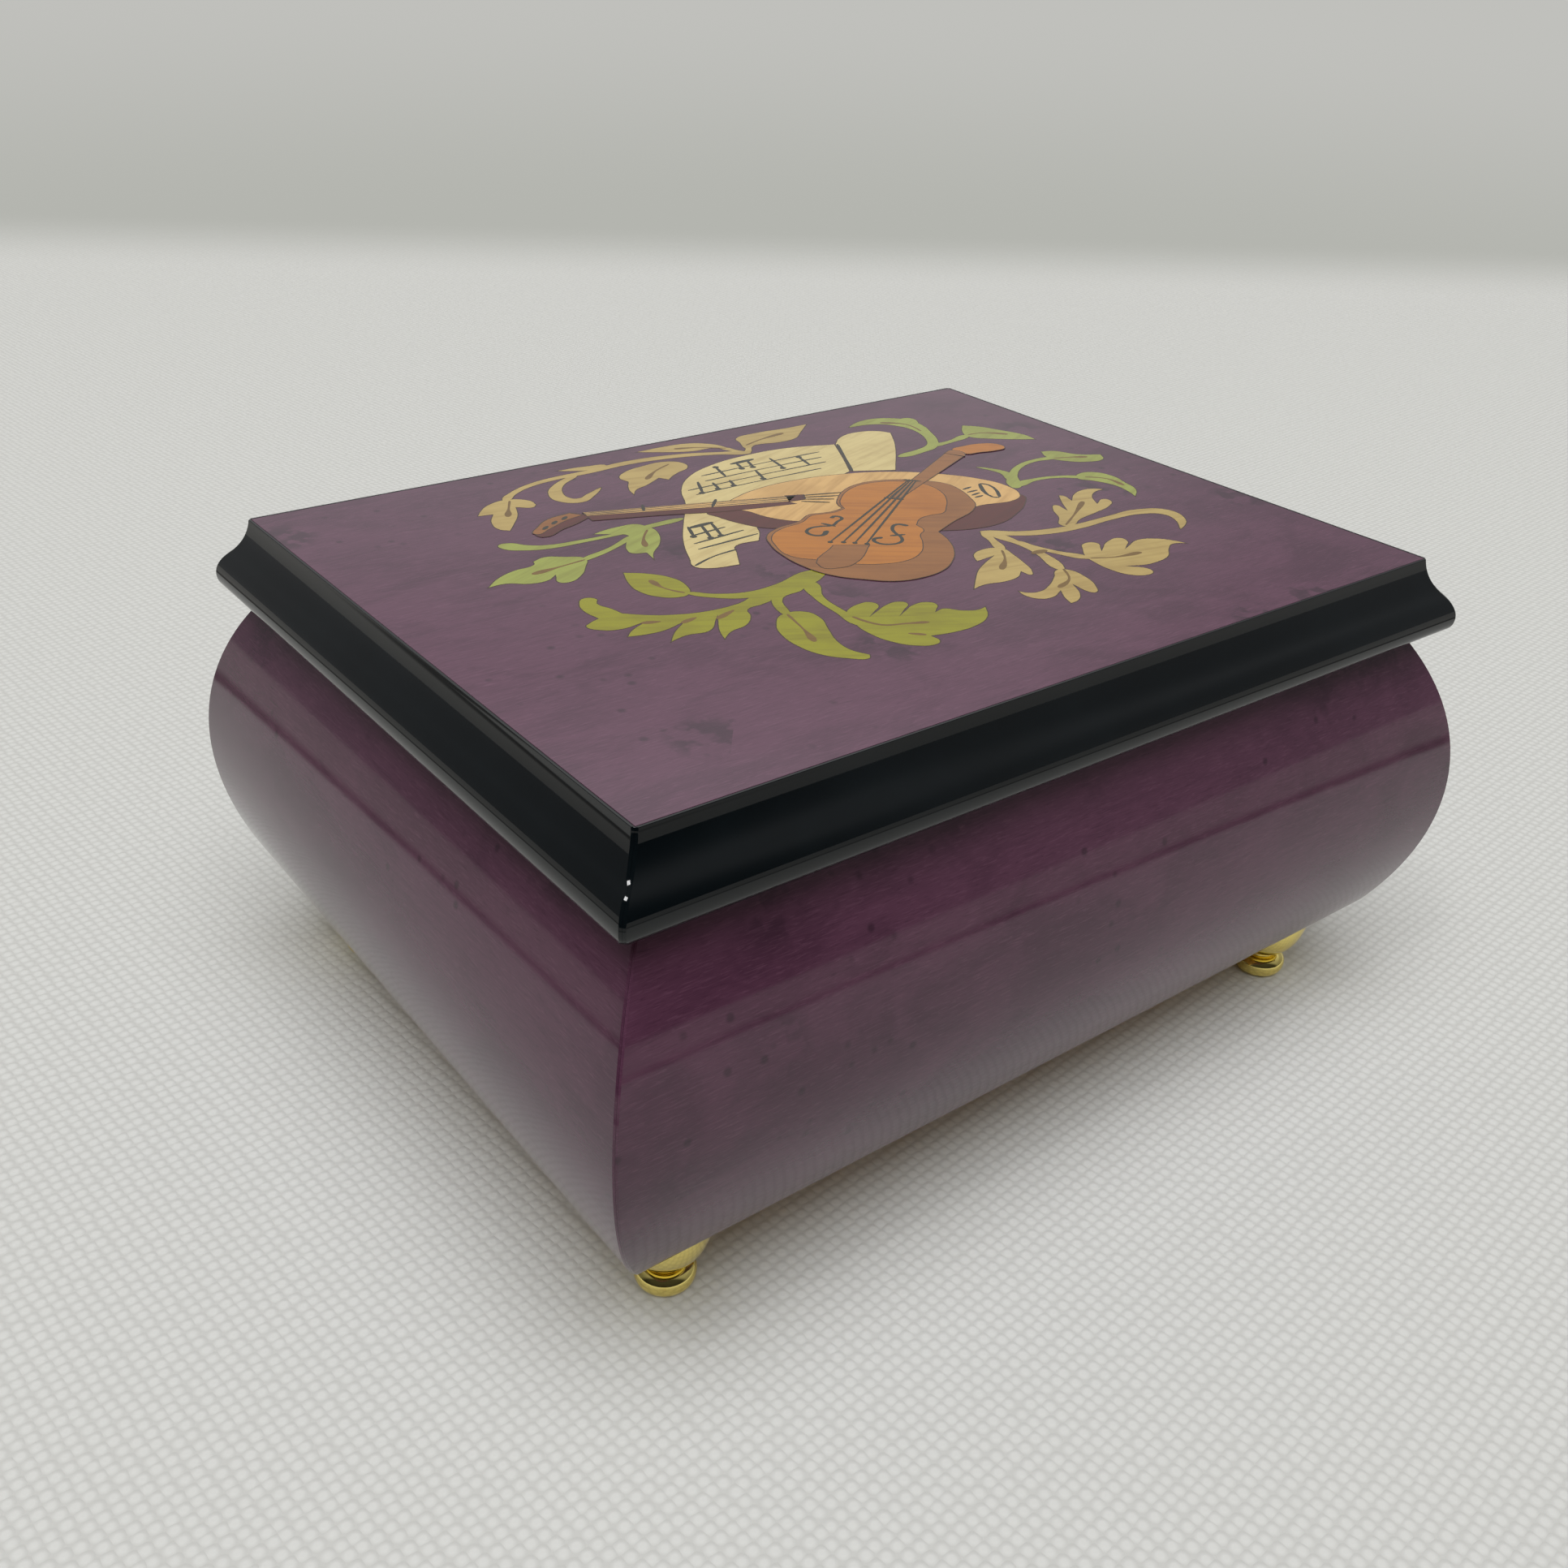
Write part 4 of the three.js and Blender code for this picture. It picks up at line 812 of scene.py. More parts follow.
class JEWELBOX_OT_walls(bpy.types.Operator):
    """Build the four bulging walls, mitred at the corners"""

    bl_idname = "jewelbox.walls"
    bl_label = "Case walls"

    def execute(self, context):
        case = context.scene.jewelbox_case
        hinge = context.scene.jewelbox_hinge
        bottom, rim = WALL_LOW.z, WALL_HIGH.z
        widest = bottom + case.bulge_level
        centre = case.bulge_reach - case.bulge_radius
        low_angle = math.asin((bottom - widest) / case.bulge_radius)
        high_angle = math.asin((rim - widest) / case.bulge_radius)
        rim_reach = centre + case.bulge_radius * math.cos(high_angle)
        inside = rim_reach - case.rim_width
        shoulder = inside + case.base_rebate
        for name, turn, run, across in sides():
            section = Outline(shoulder, bottom)
            section.line(centre + case.bulge_radius * math.cos(low_angle), bottom)
            section.arc(centre, widest, high_angle - low_angle, steps=44)
            section.line(inside, rim).line(inside, BASE_TOP).line(shoulder, BASE_TOP)
            bm = mitred(
                section, turn, run, across, case.mitre_gap, case.corner,
                lambda up: centre + math.sqrt(case.bulge_radius ** 2 - (up - widest) ** 2),
            )
            soften(bm, case.edge, keep_mitres=True)
            kind = "burl_along" if name in ("front", "back") else "burl_across"
            wall = stand_up(name + "_wall_veneered", bm, [kind])
            if name == "back":
                front = PIN_Y - hinge.leaf_width - SEAT
                floor = PIN_Z - hinge.leaf - SEAT
                for start, end in hinge_places():
                    carve(wall, [((start, front, floor), (end, PIN_Y, rim + PAST))])
            keep_flats(fit(wall, "case", [name + "_wall"]))
        return {"FINISHED"}


class JEWELBOX_OT_mouldings(bpy.types.Operator):
    """Build the lid's black frame: a cove over a bead on each side"""

    bl_idname = "jewelbox.mouldings"
    bl_label = "Lid mouldings"

    def execute(self, context):
        lid = context.scene.jewelbox_lid
        hinge = context.scene.jewelbox_hinge
        low, high = MOULDING_LOW.z, MOULDING_HIGH.z
        along, across = lid_half()
        inside = -(across + MOULDING_HIGH.y)
        bead = low + lid.bead_level
        cove = high - lid.cove_depth
        lean = math.tan(lid.cove_slope)
        swell = (lid.reach - lid.cove_reach) / lean
        lip = lid.lip - SEAT
        panel = PANEL_BOTTOM - SEAT
        gap = context.scene.jewelbox_case.mitre_gap
        for name, turn, run, reach in sides():
            section = Outline(inside, low)
            section.line(lid.reach - lid.heel, low)
            section.bend((lid.reach, low), (lid.reach, bead), steps=10)
            section.bend((lid.reach, cove - swell), (lid.cove_reach, cove), steps=12)
            pulled = (lid.cove_reach - lid.cove_pull * lean, cove + lid.cove_pull)
            section.bend(pulled, (0, high), steps=14)
            section.line(-lip, high).line(-lip, panel).line(inside, panel)
            bm = mitred(section, turn, run, reach, gap, lid.corner, lambda up: 0)
            soften(bm, lid.edge, keep_mitres=True)
            strip = stand_up(name + "_moulding_lacquered", bm, ["black_lacquer"])
            if name == "back":
                leaf_top = PIN_Z + hinge.leaf + SEAT
                front = PIN_Y - hinge.leaf_width - SEAT
                room = hinge.knuckle + hinge.play
                outside = across + lid.reach + PAST
                for start, end in hinge_places():
                    carve(strip, [
                        ((start, front, low - PAST), (end, PIN_Y, leaf_top)),
                        ((start, PIN_Y - room, low - PAST), (end, outside, PIN_Z + room)),
                    ])
            keep_flats(fit(strip, "lid", [name + "_moulding"]))
        return {"FINISHED"}


class JEWELBOX_OT_boards(bpy.types.Operator):
    """Dress the base board, the lid's panel and veneer, and the pane's ledge"""

    bl_idname = "jewelbox.boards"
    bl_label = "Boards"

    def execute(self, context):
        case, lid = context.scene.jewelbox_case, context.scene.jewelbox_lid
        dressed("base_board", "base_board_sanded", "bare_wood", "case", case.board_edge)
        dressed("lid_panel", "lid_panel_sanded", "bare_wood", "lid", lid.panel_edge)
        dressed("lid_veneer", "lid_veneer_polished", "burl_lid", "lid", lid.veneer_edge)
        dressed("pane_ledge", "pane_ledge_sanded", "bare_wood", "case", case.board_edge)
        return {"FINISHED"}


class JEWELBOX_OT_feet(bpy.types.Operator):
    """Turn the four brass feet"""

    bl_idname = "jewelbox.feet"
    bl_label = "Feet"

    def execute(self, context):
        foot = context.scene.jewelbox_foot
        neck = foot.neck_top
        band = foot.height - foot.band
        roll = foot.bead - foot.neck
        top = foot.bead_level + foot.bead_rise
        # The bead's upper quarter is drawn in two halves, each pulled towards where their tangents meet
        half, ease = math.sqrt(0.5), math.tan(math.pi / 8)
        tip = foot.height + foot.stud_length
        for place in ("front_left", "front_right", "rear_left", "rear_right"):
            low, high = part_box("foot_" + place)
            outline = Outline(0, 0)
            outline.line(foot.pad, 0)
            outline.bend((foot.bead, 0), (foot.bead, foot.bead_level), steps=14)
            outline.bend(
                (foot.bead, foot.bead_level + ease * foot.bead_rise),
                (foot.neck + half * roll, foot.bead_level + half * foot.bead_rise), steps=9,
            )
            outline.bend((foot.neck + ease * roll, top), (foot.neck, top), steps=9)
            outline.line(foot.neck, neck).line(foot.rim, neck)
            outline.bend((foot.cup, neck + foot.swell), (foot.cup, band), steps=20)
            outline.line(foot.cup, foot.height).line(foot.stud, foot.height)
            outline.line(foot.stud, tip).line(0, tip)
            bm = turned(outline, steps=72)
            soften(bm, foot.edge)
            shift(bm, ((low.x + high.x) / 2, (low.y + high.y) / 2, 0))
            piece = stand_up("foot_" + place + "_turned", bm, ["foot_brass"])
            keep_flats(fit(piece, "case", ["foot_" + place]))
        return {"FINISHED"}


class JEWELBOX_OT_hinges(bpy.types.Operator):
    """Dress the two hinges"""

    bl_idname = "jewelbox.hinges"
    bl_label = "Hinges"

    def execute(self, context):
        hinge = context.scene.jewelbox_hinge
        for hand in ("left", "right"):
            for body in ("case", "lid"):
                leaf = hand + "_hinge_" + body + "_leaf"
                dressed(leaf, leaf + "_brass", "work_brass", body, hinge.leaf_edge)
            pin = hand + "_hinge_pin"
            dressed(pin, pin + "_brass", "work_brass", "case", hinge.pin_edge)
        return {"FINISHED"}


def velvet_block(node, name, body):
    """A velvet-covered board in a node's place"""
    bm = block(*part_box(node))
    round_over(bm, bm.edges[:], bpy.context.scene.jewelbox_soft.edge, segments=3)
    return keep_flats(fit(stand_up(name, bm, ["velvet"]), body, [node]))


# How flat a pad's filling, its edge and its pulled sides are, as powers of the way out from its middle
FILL_POWER, EDGE_POWER, SIDE_POWER = 6, 24, 8
# The parts of a pad's thickness at its rim, just inside it, and added by its filling
RIM_PART, EDGE_PART, FILL_PART = 0.4, 0.25, 0.35


def cushion(node, name, body, up, crown):
    """A filled pad in a node's place, crowned on one side and pulled in between its corners"""
    low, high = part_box(node)
    half = (high - low) / 2
    thick = high.z - low.z
    pull = bpy.context.scene.jewelbox_soft.pull
    bm = bmesh.new()
    bmesh.ops.create_grid(bm, x_segments=64, y_segments=48, size=1)
    for vert in bm.verts:
        u, v = vert.co.x, vert.co.y
        fill = (1 - u ** FILL_POWER) * (1 - v ** FILL_POWER)
        edge = 1 - max(abs(u), abs(v)) ** EDGE_POWER
        vert.co.x = u * (half.x - pull * u ** SIDE_POWER * (1 - v * v))
        vert.co.y = v * (half.y - pull * v ** SIDE_POWER * (1 - u * u))
        vert.co.z = up * (thick * (RIM_PART + EDGE_PART * edge + FILL_PART * fill) + crown * fill)
    rim = [edge for edge in bm.edges if edge.is_boundary]
    made = bmesh.ops.extrude_edge_only(bm, edges=rim)
    for vert in verts_of(made["geom"]):
        vert.co.z = 0
    bmesh.ops.contextual_create(bm, geom=[edge for edge in bm.edges if edge.is_boundary])
    bmesh.ops.recalc_face_normals(bm, faces=bm.faces[:])
    rest = low.z if up > 0 else high.z
    shift(bm, ((low.x + high.x) / 2, (low.y + high.y) / 2, rest))
    return fit(stand_up(name, bm, ["velvet"]), body, [node])


class JEWELBOX_OT_linings(bpy.types.Operator):
    """Line the walls, floors and dividers with velvet"""

    bl_idname = "jewelbox.linings"
    bl_label = "Velvet linings"

    def execute(self, context):
        crown = context.scene.jewelbox_soft.crown
        for node in (
            "front_lining", "back_lining", "left_lining", "right_lining", "long_divider", "cross_divider",
        ):
            velvet_block(node, node + "_velvet", "case")
        cushion("main_floor_pad", "main_floor_pad_velvet", "case", 1, crown)
        cushion("ring_floor_pad", "ring_floor_pad_velvet", "case", 1, 0)
        return {"FINISHED"}


class JEWELBOX_OT_pads(bpy.types.Operator):
    """Fill the ring rolls and the lid's pad"""

    bl_idname = "jewelbox.pads"
    bl_label = "Ring rolls and lid pad"

    def execute(self, context):
        soft = context.scene.jewelbox_soft
        for node in ("ring_roll_1", "ring_roll_2", "ring_roll_3"):
            low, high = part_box(node)
            half = (high.x - low.x) / 2
            radius = (high.z - low.z) / 2
            shoulder = radius - soft.swell
            outline = Outline(0, -half + soft.swell)
            outline.bend((shoulder / 2, -half), (shoulder - soft.roll_end / 2, -half), steps=6)
            outline.bend((shoulder, -half), (shoulder, -half + soft.roll_end))
            outline.bend((radius + soft.swell, 0), (shoulder, half - soft.roll_end), steps=20)
            outline.bend((shoulder, half), (shoulder - soft.roll_end / 2, half))
            outline.bend((shoulder / 2, half), (0, half - soft.swell), steps=6)
            bm = turned(outline, steps=56)
            swivel(bm, math.pi / 2, "Y")
            shift(bm, (low + high) / 2)
            fit(stand_up(node + "_velvet", bm, ["velvet"]), "case", [node])
        cushion("lid_lining", "lid_pad_velvet", "lid", -1, 0)
        return {"FINISHED"}


class JEWELBOX_OT_pane(bpy.types.Operator):
    """Lay the clear pane over the movement"""

    bl_idname = "jewelbox.pane"
    bl_label = "Movement pane"

    def execute(self, context):
        edge = context.scene.jewelbox_movement.pane_edge
        dressed("movement_pane", "movement_pane_clear", "clear_acrylic", "case", edge)
        return {"FINISHED"}


# The comb's teeth, the pins in each tooth's row, how far they stray, their narrower tips and the draw's seed
COMB_TEETH = 18
ROW_PINS = 9
PIN_STRAY = 0.8
PIN_TAPER = 0.7
PIN_SEED = 7


class JEWELBOX_OT_movement(bpy.types.Operator):
    """Dress the musical movement, and pin its cylinder"""

    bl_idname = "jewelbox.movement"
    bl_label = "Musical movement"

    def execute(self, context):
        sizes = context.scene.jewelbox_movement
        edge, fine = sizes.edge, sizes.edge / 3
        for node in ("bedplate", "spring_barrel", "governor_case"):
            dressed(node, node + "_cast", "cast_zinc", "case", edge * 2)
        dressed("steel_comb", "steel_comb_ground", "ground_steel", "case", fine)
        for node, end in (
            ("comb_screw_1", 1), ("comb_screw_2", 1),
            ("movement_screw_1", -1), ("movement_screw_2", -1), ("movement_screw_3", -1),
        ):
            screw = dressed(node, node + "_ground", "ground_steel", "case", fine)
            self.slot_head(screw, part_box(node), end, sizes.slot)
        dressed("music_cylinder", "music_cylinder_brass", "work_brass", "cylinder", edge)
        dressed("cylinder_wheel", "cylinder_wheel_brass", "work_brass", "cylinder", fine)
        dressed("governor_pinion", "governor_pinion_brass", "work_brass", "governor", fine)
        dressed("air_brake_fan", "air_brake_fan_steel", "ground_steel", "fan", fine)
        dressed("stop_lever", "stop_lever_wire", "ground_steel", "stop_lever", fine)
        dressed("winding_key", "winding_key_brass", "work_brass", "key", edge * 1.6)
        dressed("winding_arbor", "winding_arbor_steel", "ground_steel", "key", edge)
        self.pin_cylinder(sizes)
        return {"FINISHED"}

    def slot_head(self, screw, box, end, slot):
        """Saw a slot across a screw's head, at its top or its bottom"""
        low, high = box
        middle = (low + high) / 2
        face = high.z if end > 0 else low.z
        bottom, top = sorted((face + end * slot, face - end * slot))
        near, far = middle.y - slot / 2, middle.y + slot / 2
        carve(screw, [((low.x - slot, near, bottom), (high.x + slot, far, top))])

    def pin_cylinder(self, sizes):
        """Set rows of music pins round the cylinder, one row for each tooth of the comb"""
        draw = random.Random(PIN_SEED)
        axis_y = (DRUM_LOW.y + DRUM_HIGH.y) / 2
        axis_z = (DRUM_LOW.z + DRUM_HIGH.z) / 2
        radius = (DRUM_HIGH.z - DRUM_LOW.z) / 2
        pitch = (COMB_HIGH.x - COMB_LOW.x - 2 * sizes.comb_margin) / COMB_TEETH
        reach = Matrix.Translation((0, 0, radius + sizes.pin_height / 2 - SEAT))
        bm = bmesh.new()
        for tooth in range(COMB_TEETH):
            along = COMB_LOW.x + sizes.comb_margin + (tooth + 0.5) * pitch
            for note in range(ROW_PINS):
                angle = 2 * math.pi * (note + draw.random() * PIN_STRAY) / ROW_PINS
                swing = Matrix.Translation((along, axis_y, axis_z)) @ Matrix.Rotation(angle, 4, "X")
                bmesh.ops.create_cone(
                    bm, cap_ends=True, segments=6, radius1=sizes.pin, radius2=sizes.pin * PIN_TAPER,
                    depth=sizes.pin_height, matrix=swing @ reach,
                )
        fit(stand_up("music_pins", bm, ["ground_steel"]), "cylinder")


# The grid on the lid's top that the inlay is drawn on, its origin at the front left
GRID_ACROSS = 150
GRID_UP = 120


def drawn(words):
    """Read an outline: each word is a point on the lid's grid, and ! marks a sharp one"""
    points = []
    for word in words.split():
        across, up = word.rstrip("!").split(",")
        points.append((float(across), float(up), word.endswith("!")))
    return points


def stroke(words):
    """Read a stroke, each word a point and the width there, and return its outline"""
    marks = [tuple(float(number) for number in word.split(",")) for word in words.split()]
    spots = [Vector(mark[:2]) for mark in marks]
    lefts, rights = [], []
    for i, mark in enumerate(marks):
        ahead = (spots[min(i + 1, len(spots) - 1)] - spots[max(i - 1, 0)]).normalized()
        aside = Vector((-ahead.y, ahead.x)) * mark[2] / 2
        lefts.append((*(spots[i] + aside), False))
        rights.append((*(spots[i] - aside), False))
    first = (spots[0] - spots[1]).normalized() * marks[0][2] / 2 + spots[0]
    last = (spots[-1] - spots[-2]).normalized() * marks[-1][2] / 2 + spots[-1]
    return lefts + [(*last, False)] + rights[::-1] + [(*first, False)]


def strokes(lines):
    return [stroke(words) for words in lines]


def dots(words, radius):
    """Read points and return a round outline about each"""
    ways = ((radius, 0), (0, radius), (-radius, 0), (0, -radius))
    return [
        [(across + right, up + over, False) for right, over in ways]
        for across, up, sharp in drawn(words)
    ]


def on_lid(across, up):
    """A point of the grid as a place on the lid"""
    along, wide = lid_half()
    return (2 * across / GRID_ACROSS - 1) * along, (2 * up / GRID_UP - 1) * wide


def flat_shape(points):
    """Fill a smooth closed curve through the points and return it as one face"""
    curve = bpy.data.curves.new("outline", "CURVE")
    curve.dimensions = "2D"
    curve.fill_mode = "BOTH"
    curve.resolution_u = 5
    spline = curve.splines.new("BEZIER")
    spline.bezier_points.add(len(points) - 1)
    spline.use_cyclic_u = True
    for knot, (across, up, sharp) in zip(spline.bezier_points, points):
        knot.co = (*on_lid(across, up), 0)
        knot.handle_left_type = knot.handle_right_type = "VECTOR" if sharp else "AUTO"
    obj = bpy.data.objects.new("outline", curve)
    bpy.context.scene.collection.objects.link(obj)
    mesh = evaluated_mesh(obj)
    bpy.data.objects.remove(obj)
    bpy.data.curves.remove(curve)
    bm = bmesh.new()
    bm.from_mesh(mesh)
    bpy.data.meshes.remove(mesh)
    bmesh.ops.remove_doubles(bm, verts=bm.verts[:], dist=MERGE)
    bmesh.ops.dissolve_faces(bm, faces=bm.faces[:])
    if len(bm.faces) != 1:
        raise RuntimeError("an inlay outline crosses itself near " + str(points[0][:2]))
    bmesh.ops.recalc_face_normals(bm, faces=bm.faces[:])
    if bm.faces[:][0].normal.z < 0:
        bmesh.ops.reverse_faces(bm, faces=bm.faces[:])
    return bm


def lay(bm, shape, top, index):
    """Give a flat shape its thickness and add it to a piece"""
    for face in shape.faces:
        face.material_index = index
    made = bmesh.ops.extrude_face_region(shape, geom=shape.faces[:])
    bmesh.ops.translate(shape, verts=verts_of(made["geom"]), vec=(0, 0, top))
    shift(shape, (0, 0, VENEER_HIGH.z))
    bmesh.ops.recalc_face_normals(shape, faces=shape.faces[:])
    mesh = bpy.data.meshes.new("shape")
    shape.to_mesh(mesh)
    shape.free()
    bm.from_mesh(mesh)
    bpy.data.meshes.remove(mesh)


def inlay(name, kind, level, outlines, edged=True):
    """Let shapes of one wood into the lid so many layers up, each with a dark saw line round it"""
    sizes = bpy.context.scene.jewelbox_inlay
    bm = bmesh.new()
    for number, points in enumerate(outlines):
        shape = flat_shape(points)
        lift = sizes.layer * (level + sizes.stagger * number)
        if edged:
            lay(bm, shape.copy(), lift, 1)
            ring = bmesh.ops.inset_region(
                shape, faces=shape.faces[:], thickness=sizes.saw_line,
                use_even_offset=True, use_boundary=True,
            )
            bmesh.ops.delete(shape, geom=ring["faces"], context="FACES")
            lift += sizes.layer
        lay(bm, shape, lift, 0)
    return fit(stand_up(name, bm, [kind, "saw_line"]), "lid")


FRONT_GREEN = [
    "38.2,66.8! 41.5,64 43.5,60.5 43.6,57 42,53.8 40,53.6 37.5,55.5 36.2,59 36.6,62.5",
    "51,48 46,47 40.5,47.2 35.5,49 32.5,51 30.2,53.2! 29.8,55.5 29,58 29.8,60 28.2,61.2 26.5,59.5 "
    "25.8,56.5 26.2,53.5! 24.5,52.8 23.3,51.8 24.5,49.5 27.2,48.2 30.5,48.5! 28,47.2 26.2,45.5! 29,44.7 "
    "32,44.5 35.3,45.4! 32.5,43.2 30.2,40.5! 33.5,41.3 37,40.8 40.2,43.8! 38,40 37,37! 39.5,38.9 "
    "42.5,39.6 45,42 46,44.2 49,44.6 51.2,45.5",
    "49.2,40.2 52.5,39 53,36 51.5,32 50,28 49.8,24.5 51,21.8! 50,20.8 47.5,22.5 45.2,25.5 44.2,29.5 "
    "44.5,34 46,37.5",
    "55.7,31.5 55.2,27 56,23.5 58,20.5 61,19.2 62.2,20 62.2,21.8! 65.5,21 70,21 73.5,22.5 76,25.8! "
    "74,25.5 72,26.5 70,28.7 68.7,28.5! 70.4,30.5 69.5,32 67,32.2 64.8,31.2! 67,33.2 66,34.5 64,34.5 "
    "60.8,33.2! 63,35 62.5,36.7 60.5,37 58,36.2 57.2,35.5 57,33",
]
FRONT_GREEN_STEMS = [
    "42,54.5,1 44.5,51.5,1.8 49,48.8,2.6 55,48.3,3.6 62.8,50.2,3.4",
    "57,47.5,3 52,45.5,2 49.5,39.5,1.2",
    "50,46.5,2.8 55,47.5,3 60,48.8,3",
    "59.5,47.5,2.4 57.2,42,1.8 56.6,36,1.8 56.4,31,2",
]
FRONT_GREEN_VEINS = [
    "40,61.4,.9 40.1,58,.35 41.6,54.8,.35",
    "30.8,48.5,.8 33,47.6,.3",
    "35.6,45.5,.8 38,46,.3",
    "40.6,44,.8 44,45.2,.3",
    "49.6,39.5,.35 48.4,34,.35 47.3,30,.9",
    "57,33.5,.4 58.6,29,.5 62,27.3,.5 64.8,26,.6",
    "60,24.4,.3 61.6,22.8,.5",
]
FRONT_CREAM = [
    "93.8,43 91.5,43.7 88.5,42.8 86.8,40! 90.2,40.3! 87.5,39 84.5,37.2 81.5,34.5 78.5,31.5! "
    "81.5,32 85,31.2 88,31.5 89.8,32.8! 90.2,31 91.5,32 93,35.5 94,39 94.5,42",
    "95.2,30.5 92.5,28.5 89.5,26.5 86.5,25.5 84.8,26.2 84,27.6! 83.5,25.5 84.5,23.2 86.8,22.5 89.2,23.5! "
    "88,21.5 87.2,19.2! 89.2,19.5 91.5,21.5 92.8,24! 92.8,21 93.5,20.2 95.5,22 97,26 96.8,29.5",
    "103,32 104.8,34.5 107,36.5 109.2,35.5 107.8,33! 111,35 114.2,35 114.2,33.2 112.2,31.5! 116,32.8 "
    "119,31.5 121,29 121.8,26.8! 119.5,28 117.5,27 114.5,24.5 111,23.8 108.5,24 106.2,25! 107.8,23 "
    "107.5,21.2 105.5,20.8 103.2,22.5 102.2,26 102.5,30",
    "110,44.5 112.5,48 114.5,51.5 116.5,52.8 116.5,50.2! 118.5,53.5 120.5,56.2! 121.2,55.5 120.8,53.2! "
    "123,55 126,56 128.5,55.5 130,54! 127.5,53.8 125,52 123.5,49.5! 126,50.5 126.5,49 124,47 120,46 "
    "115,45 111.5,43.5",
]
FRONT_CREAM_STEMS = [
    "96.5,49,1.6 95.5,46,1.6 94,42,1.6",
    "97.5,48,1.8 98.2,42,1.6 98,37.5,1.8 96,30.5,1.8",
    "98.3,43,1.6 99,40,1.6 100.5,36,1.6 103,31.5,1.6",
    "96.8,49.5,1.5 101,46,2.3 106,43.8,2.5 112,42.8,2.3 120,42.8,2 126.5,42.2,2.6 130.2,39.5,3 "
    "129.5,35.5,2.2 126,32.3,.4",
]
FRONT_CREAM_VEINS = [
    "93.6,41.5,.3 91.5,38.5,.4 88.2,35.6,.9",
    "96.2,30,.3 94,26.5,.4 90.5,25,.8",
    "103.4,31,.3 107,29.2,.4 111.8,28.4,.9",
    "111,44.5,.3 116,47.5,.4 121.6,51.2,.8",
    "97.2,37.8,1 99.4,37.6,1",
]
BACK_CREAM = [
    "39,106 42,103.5 42,101! 40.8,100 38.5,101.5! 37,98 34.5,94.5 32.5,92! 31.2,93.5 31.5,97 33.5,100.5! "
    "31,101! 32.5,103 35,105.2",
    "73,109 74.8,106.5 74,104 71,102.5 69,101.3! 67.5,100! 66.5,101.8! 62.5,99.5 60,98.5 58,96! 58.8,99.5 "
    "60.8,103! 60.5,105.5 63,108 67,109.2",
    "58,112.2 55,113.6 53,115! 58.5,114.6 62.5,112.8",
    "86,108.5 84.5,111 80,111.5 74,114.5 70.5,116.8! 77,117 82,116.2 85,114 86.5,111",
    "89.5,107.5 92,108.5 97,107.5 101,108 104,110.5 108.5,114.5! 103,114.5 96,115 91,114 90.2,111.5",
]
BACK_CREAM_STEMS = [
    "88,105.5,1.6 83,108.2,1.8 76,110.8,2.2 66,112.2,2.2 58,111.5,2 50,111.3,1.8 45,110.2,1.6 41,108,1.6 "
    "38.8,106,1.6",
    "55,111,1 50,108,2 47.2,104,2.8 47,100.8,2.8 49,99,2.4 52,100.5,1.8 55.4,102.9,.4",
    "88,105.5,1.2 86.8,107.5,1.4 86,110,1.4",
    "88,105.5,1.2 89.6,107.5,1.4 90.8,110,1.4",
]
BACK_CREAM_VEINS = [
    "39,105,.3 37,101.5,.4 35.4,98.6,.9",
    "72,107.5,.3 68,105.5,.4 64.5,102.6,.8",
    "86,110,.3 82,113,.4 78,114.6,.7",
    "90.5,109.5,.3 95,111,.4 100.5,112,.8",
]
LEFT_GREEN = [
    "52,82 51,84 48,84.5 44.5,84.2 42.5,83.5! 45,82! 47,80 45.5,78 43.5,74.5 43.5,72.8 45.5,71.8! "
    "44.8,68! 46.5,71 49.5,74 51.8,78 52.3,80.5",
    "36.5,75.5 34,77.5 31.5,79 29,78.2! 28.5,77 25,76.5 21.5,75 18.3,72.2! 21.5,72.2 24.5,70.2 27.5,70 "
    "29,71! 28.2,68.5 29.5,67.6 32.5,69 35,72 36.5,74.3",
]
LEFT_GREEN_STEMS = [
    "58.5,82,1.2 52,81.8,1.8 46,81.5,1.4 39.5,81.8,1.6 34,82.5,2 31,84,2.6 28.8,86.3,3",
    "47.5,79.5,1 42,76.5,1.4 36.5,74.8,1.6 33,73.8,.6",
]
LEFT_GREEN_VEINS = ["36,74.5,.3 31.5,74,.4 27,73.6,1", "51,80.5,.3 48.5,77.5,.4 47,74.5,.8"]
RIGHT_GREEN = [
    "130,91.5 131,94 134,97.5! 136.5,95 138.5,91 140.5,86 140.3,82.5! 137,84.5 133,87.5 130.5,89.8",
    "124,105.5 127,107.6 128.6,106.4 127.6,103 125.5,101",
    "134,73 135.5,76.5! 138,75.5 140.5,71.5 144.3,69! 142.5,66.5 138.5,67 135.5,69.5",
    "130,61 132.5,63 135.5,62 136.8,58.5 136,54.5 135,51 131.5,47.8! 132.5,50.5 133,54.5 131.5,58.5",
]
RIGHT_GREEN_STEMS = [
    "111,88.5,1.5 116,89,2.2 120,90.2,2.5 122.5,93,2.5 124.5,97.5,2.8 125.4,101.5,4 125,104.8,5.2 "
    "122.5,107.8,4.6 118.5,109,3 114,108.2,.4",
    "120,90.2,1.2 125,90.5,1.5 130.5,91.8,1.5",
    "117.5,64,2.5 121,68.5,2 126,72,1.6 131,73,1.5 135,72.3,1.3",
    "119.8,67,2.4 120.9,71,2 118.8,76,.4",
    "118,64.3,2 123,64.8,1.5 128,63.5,1.4 131.5,61,1.3",
]
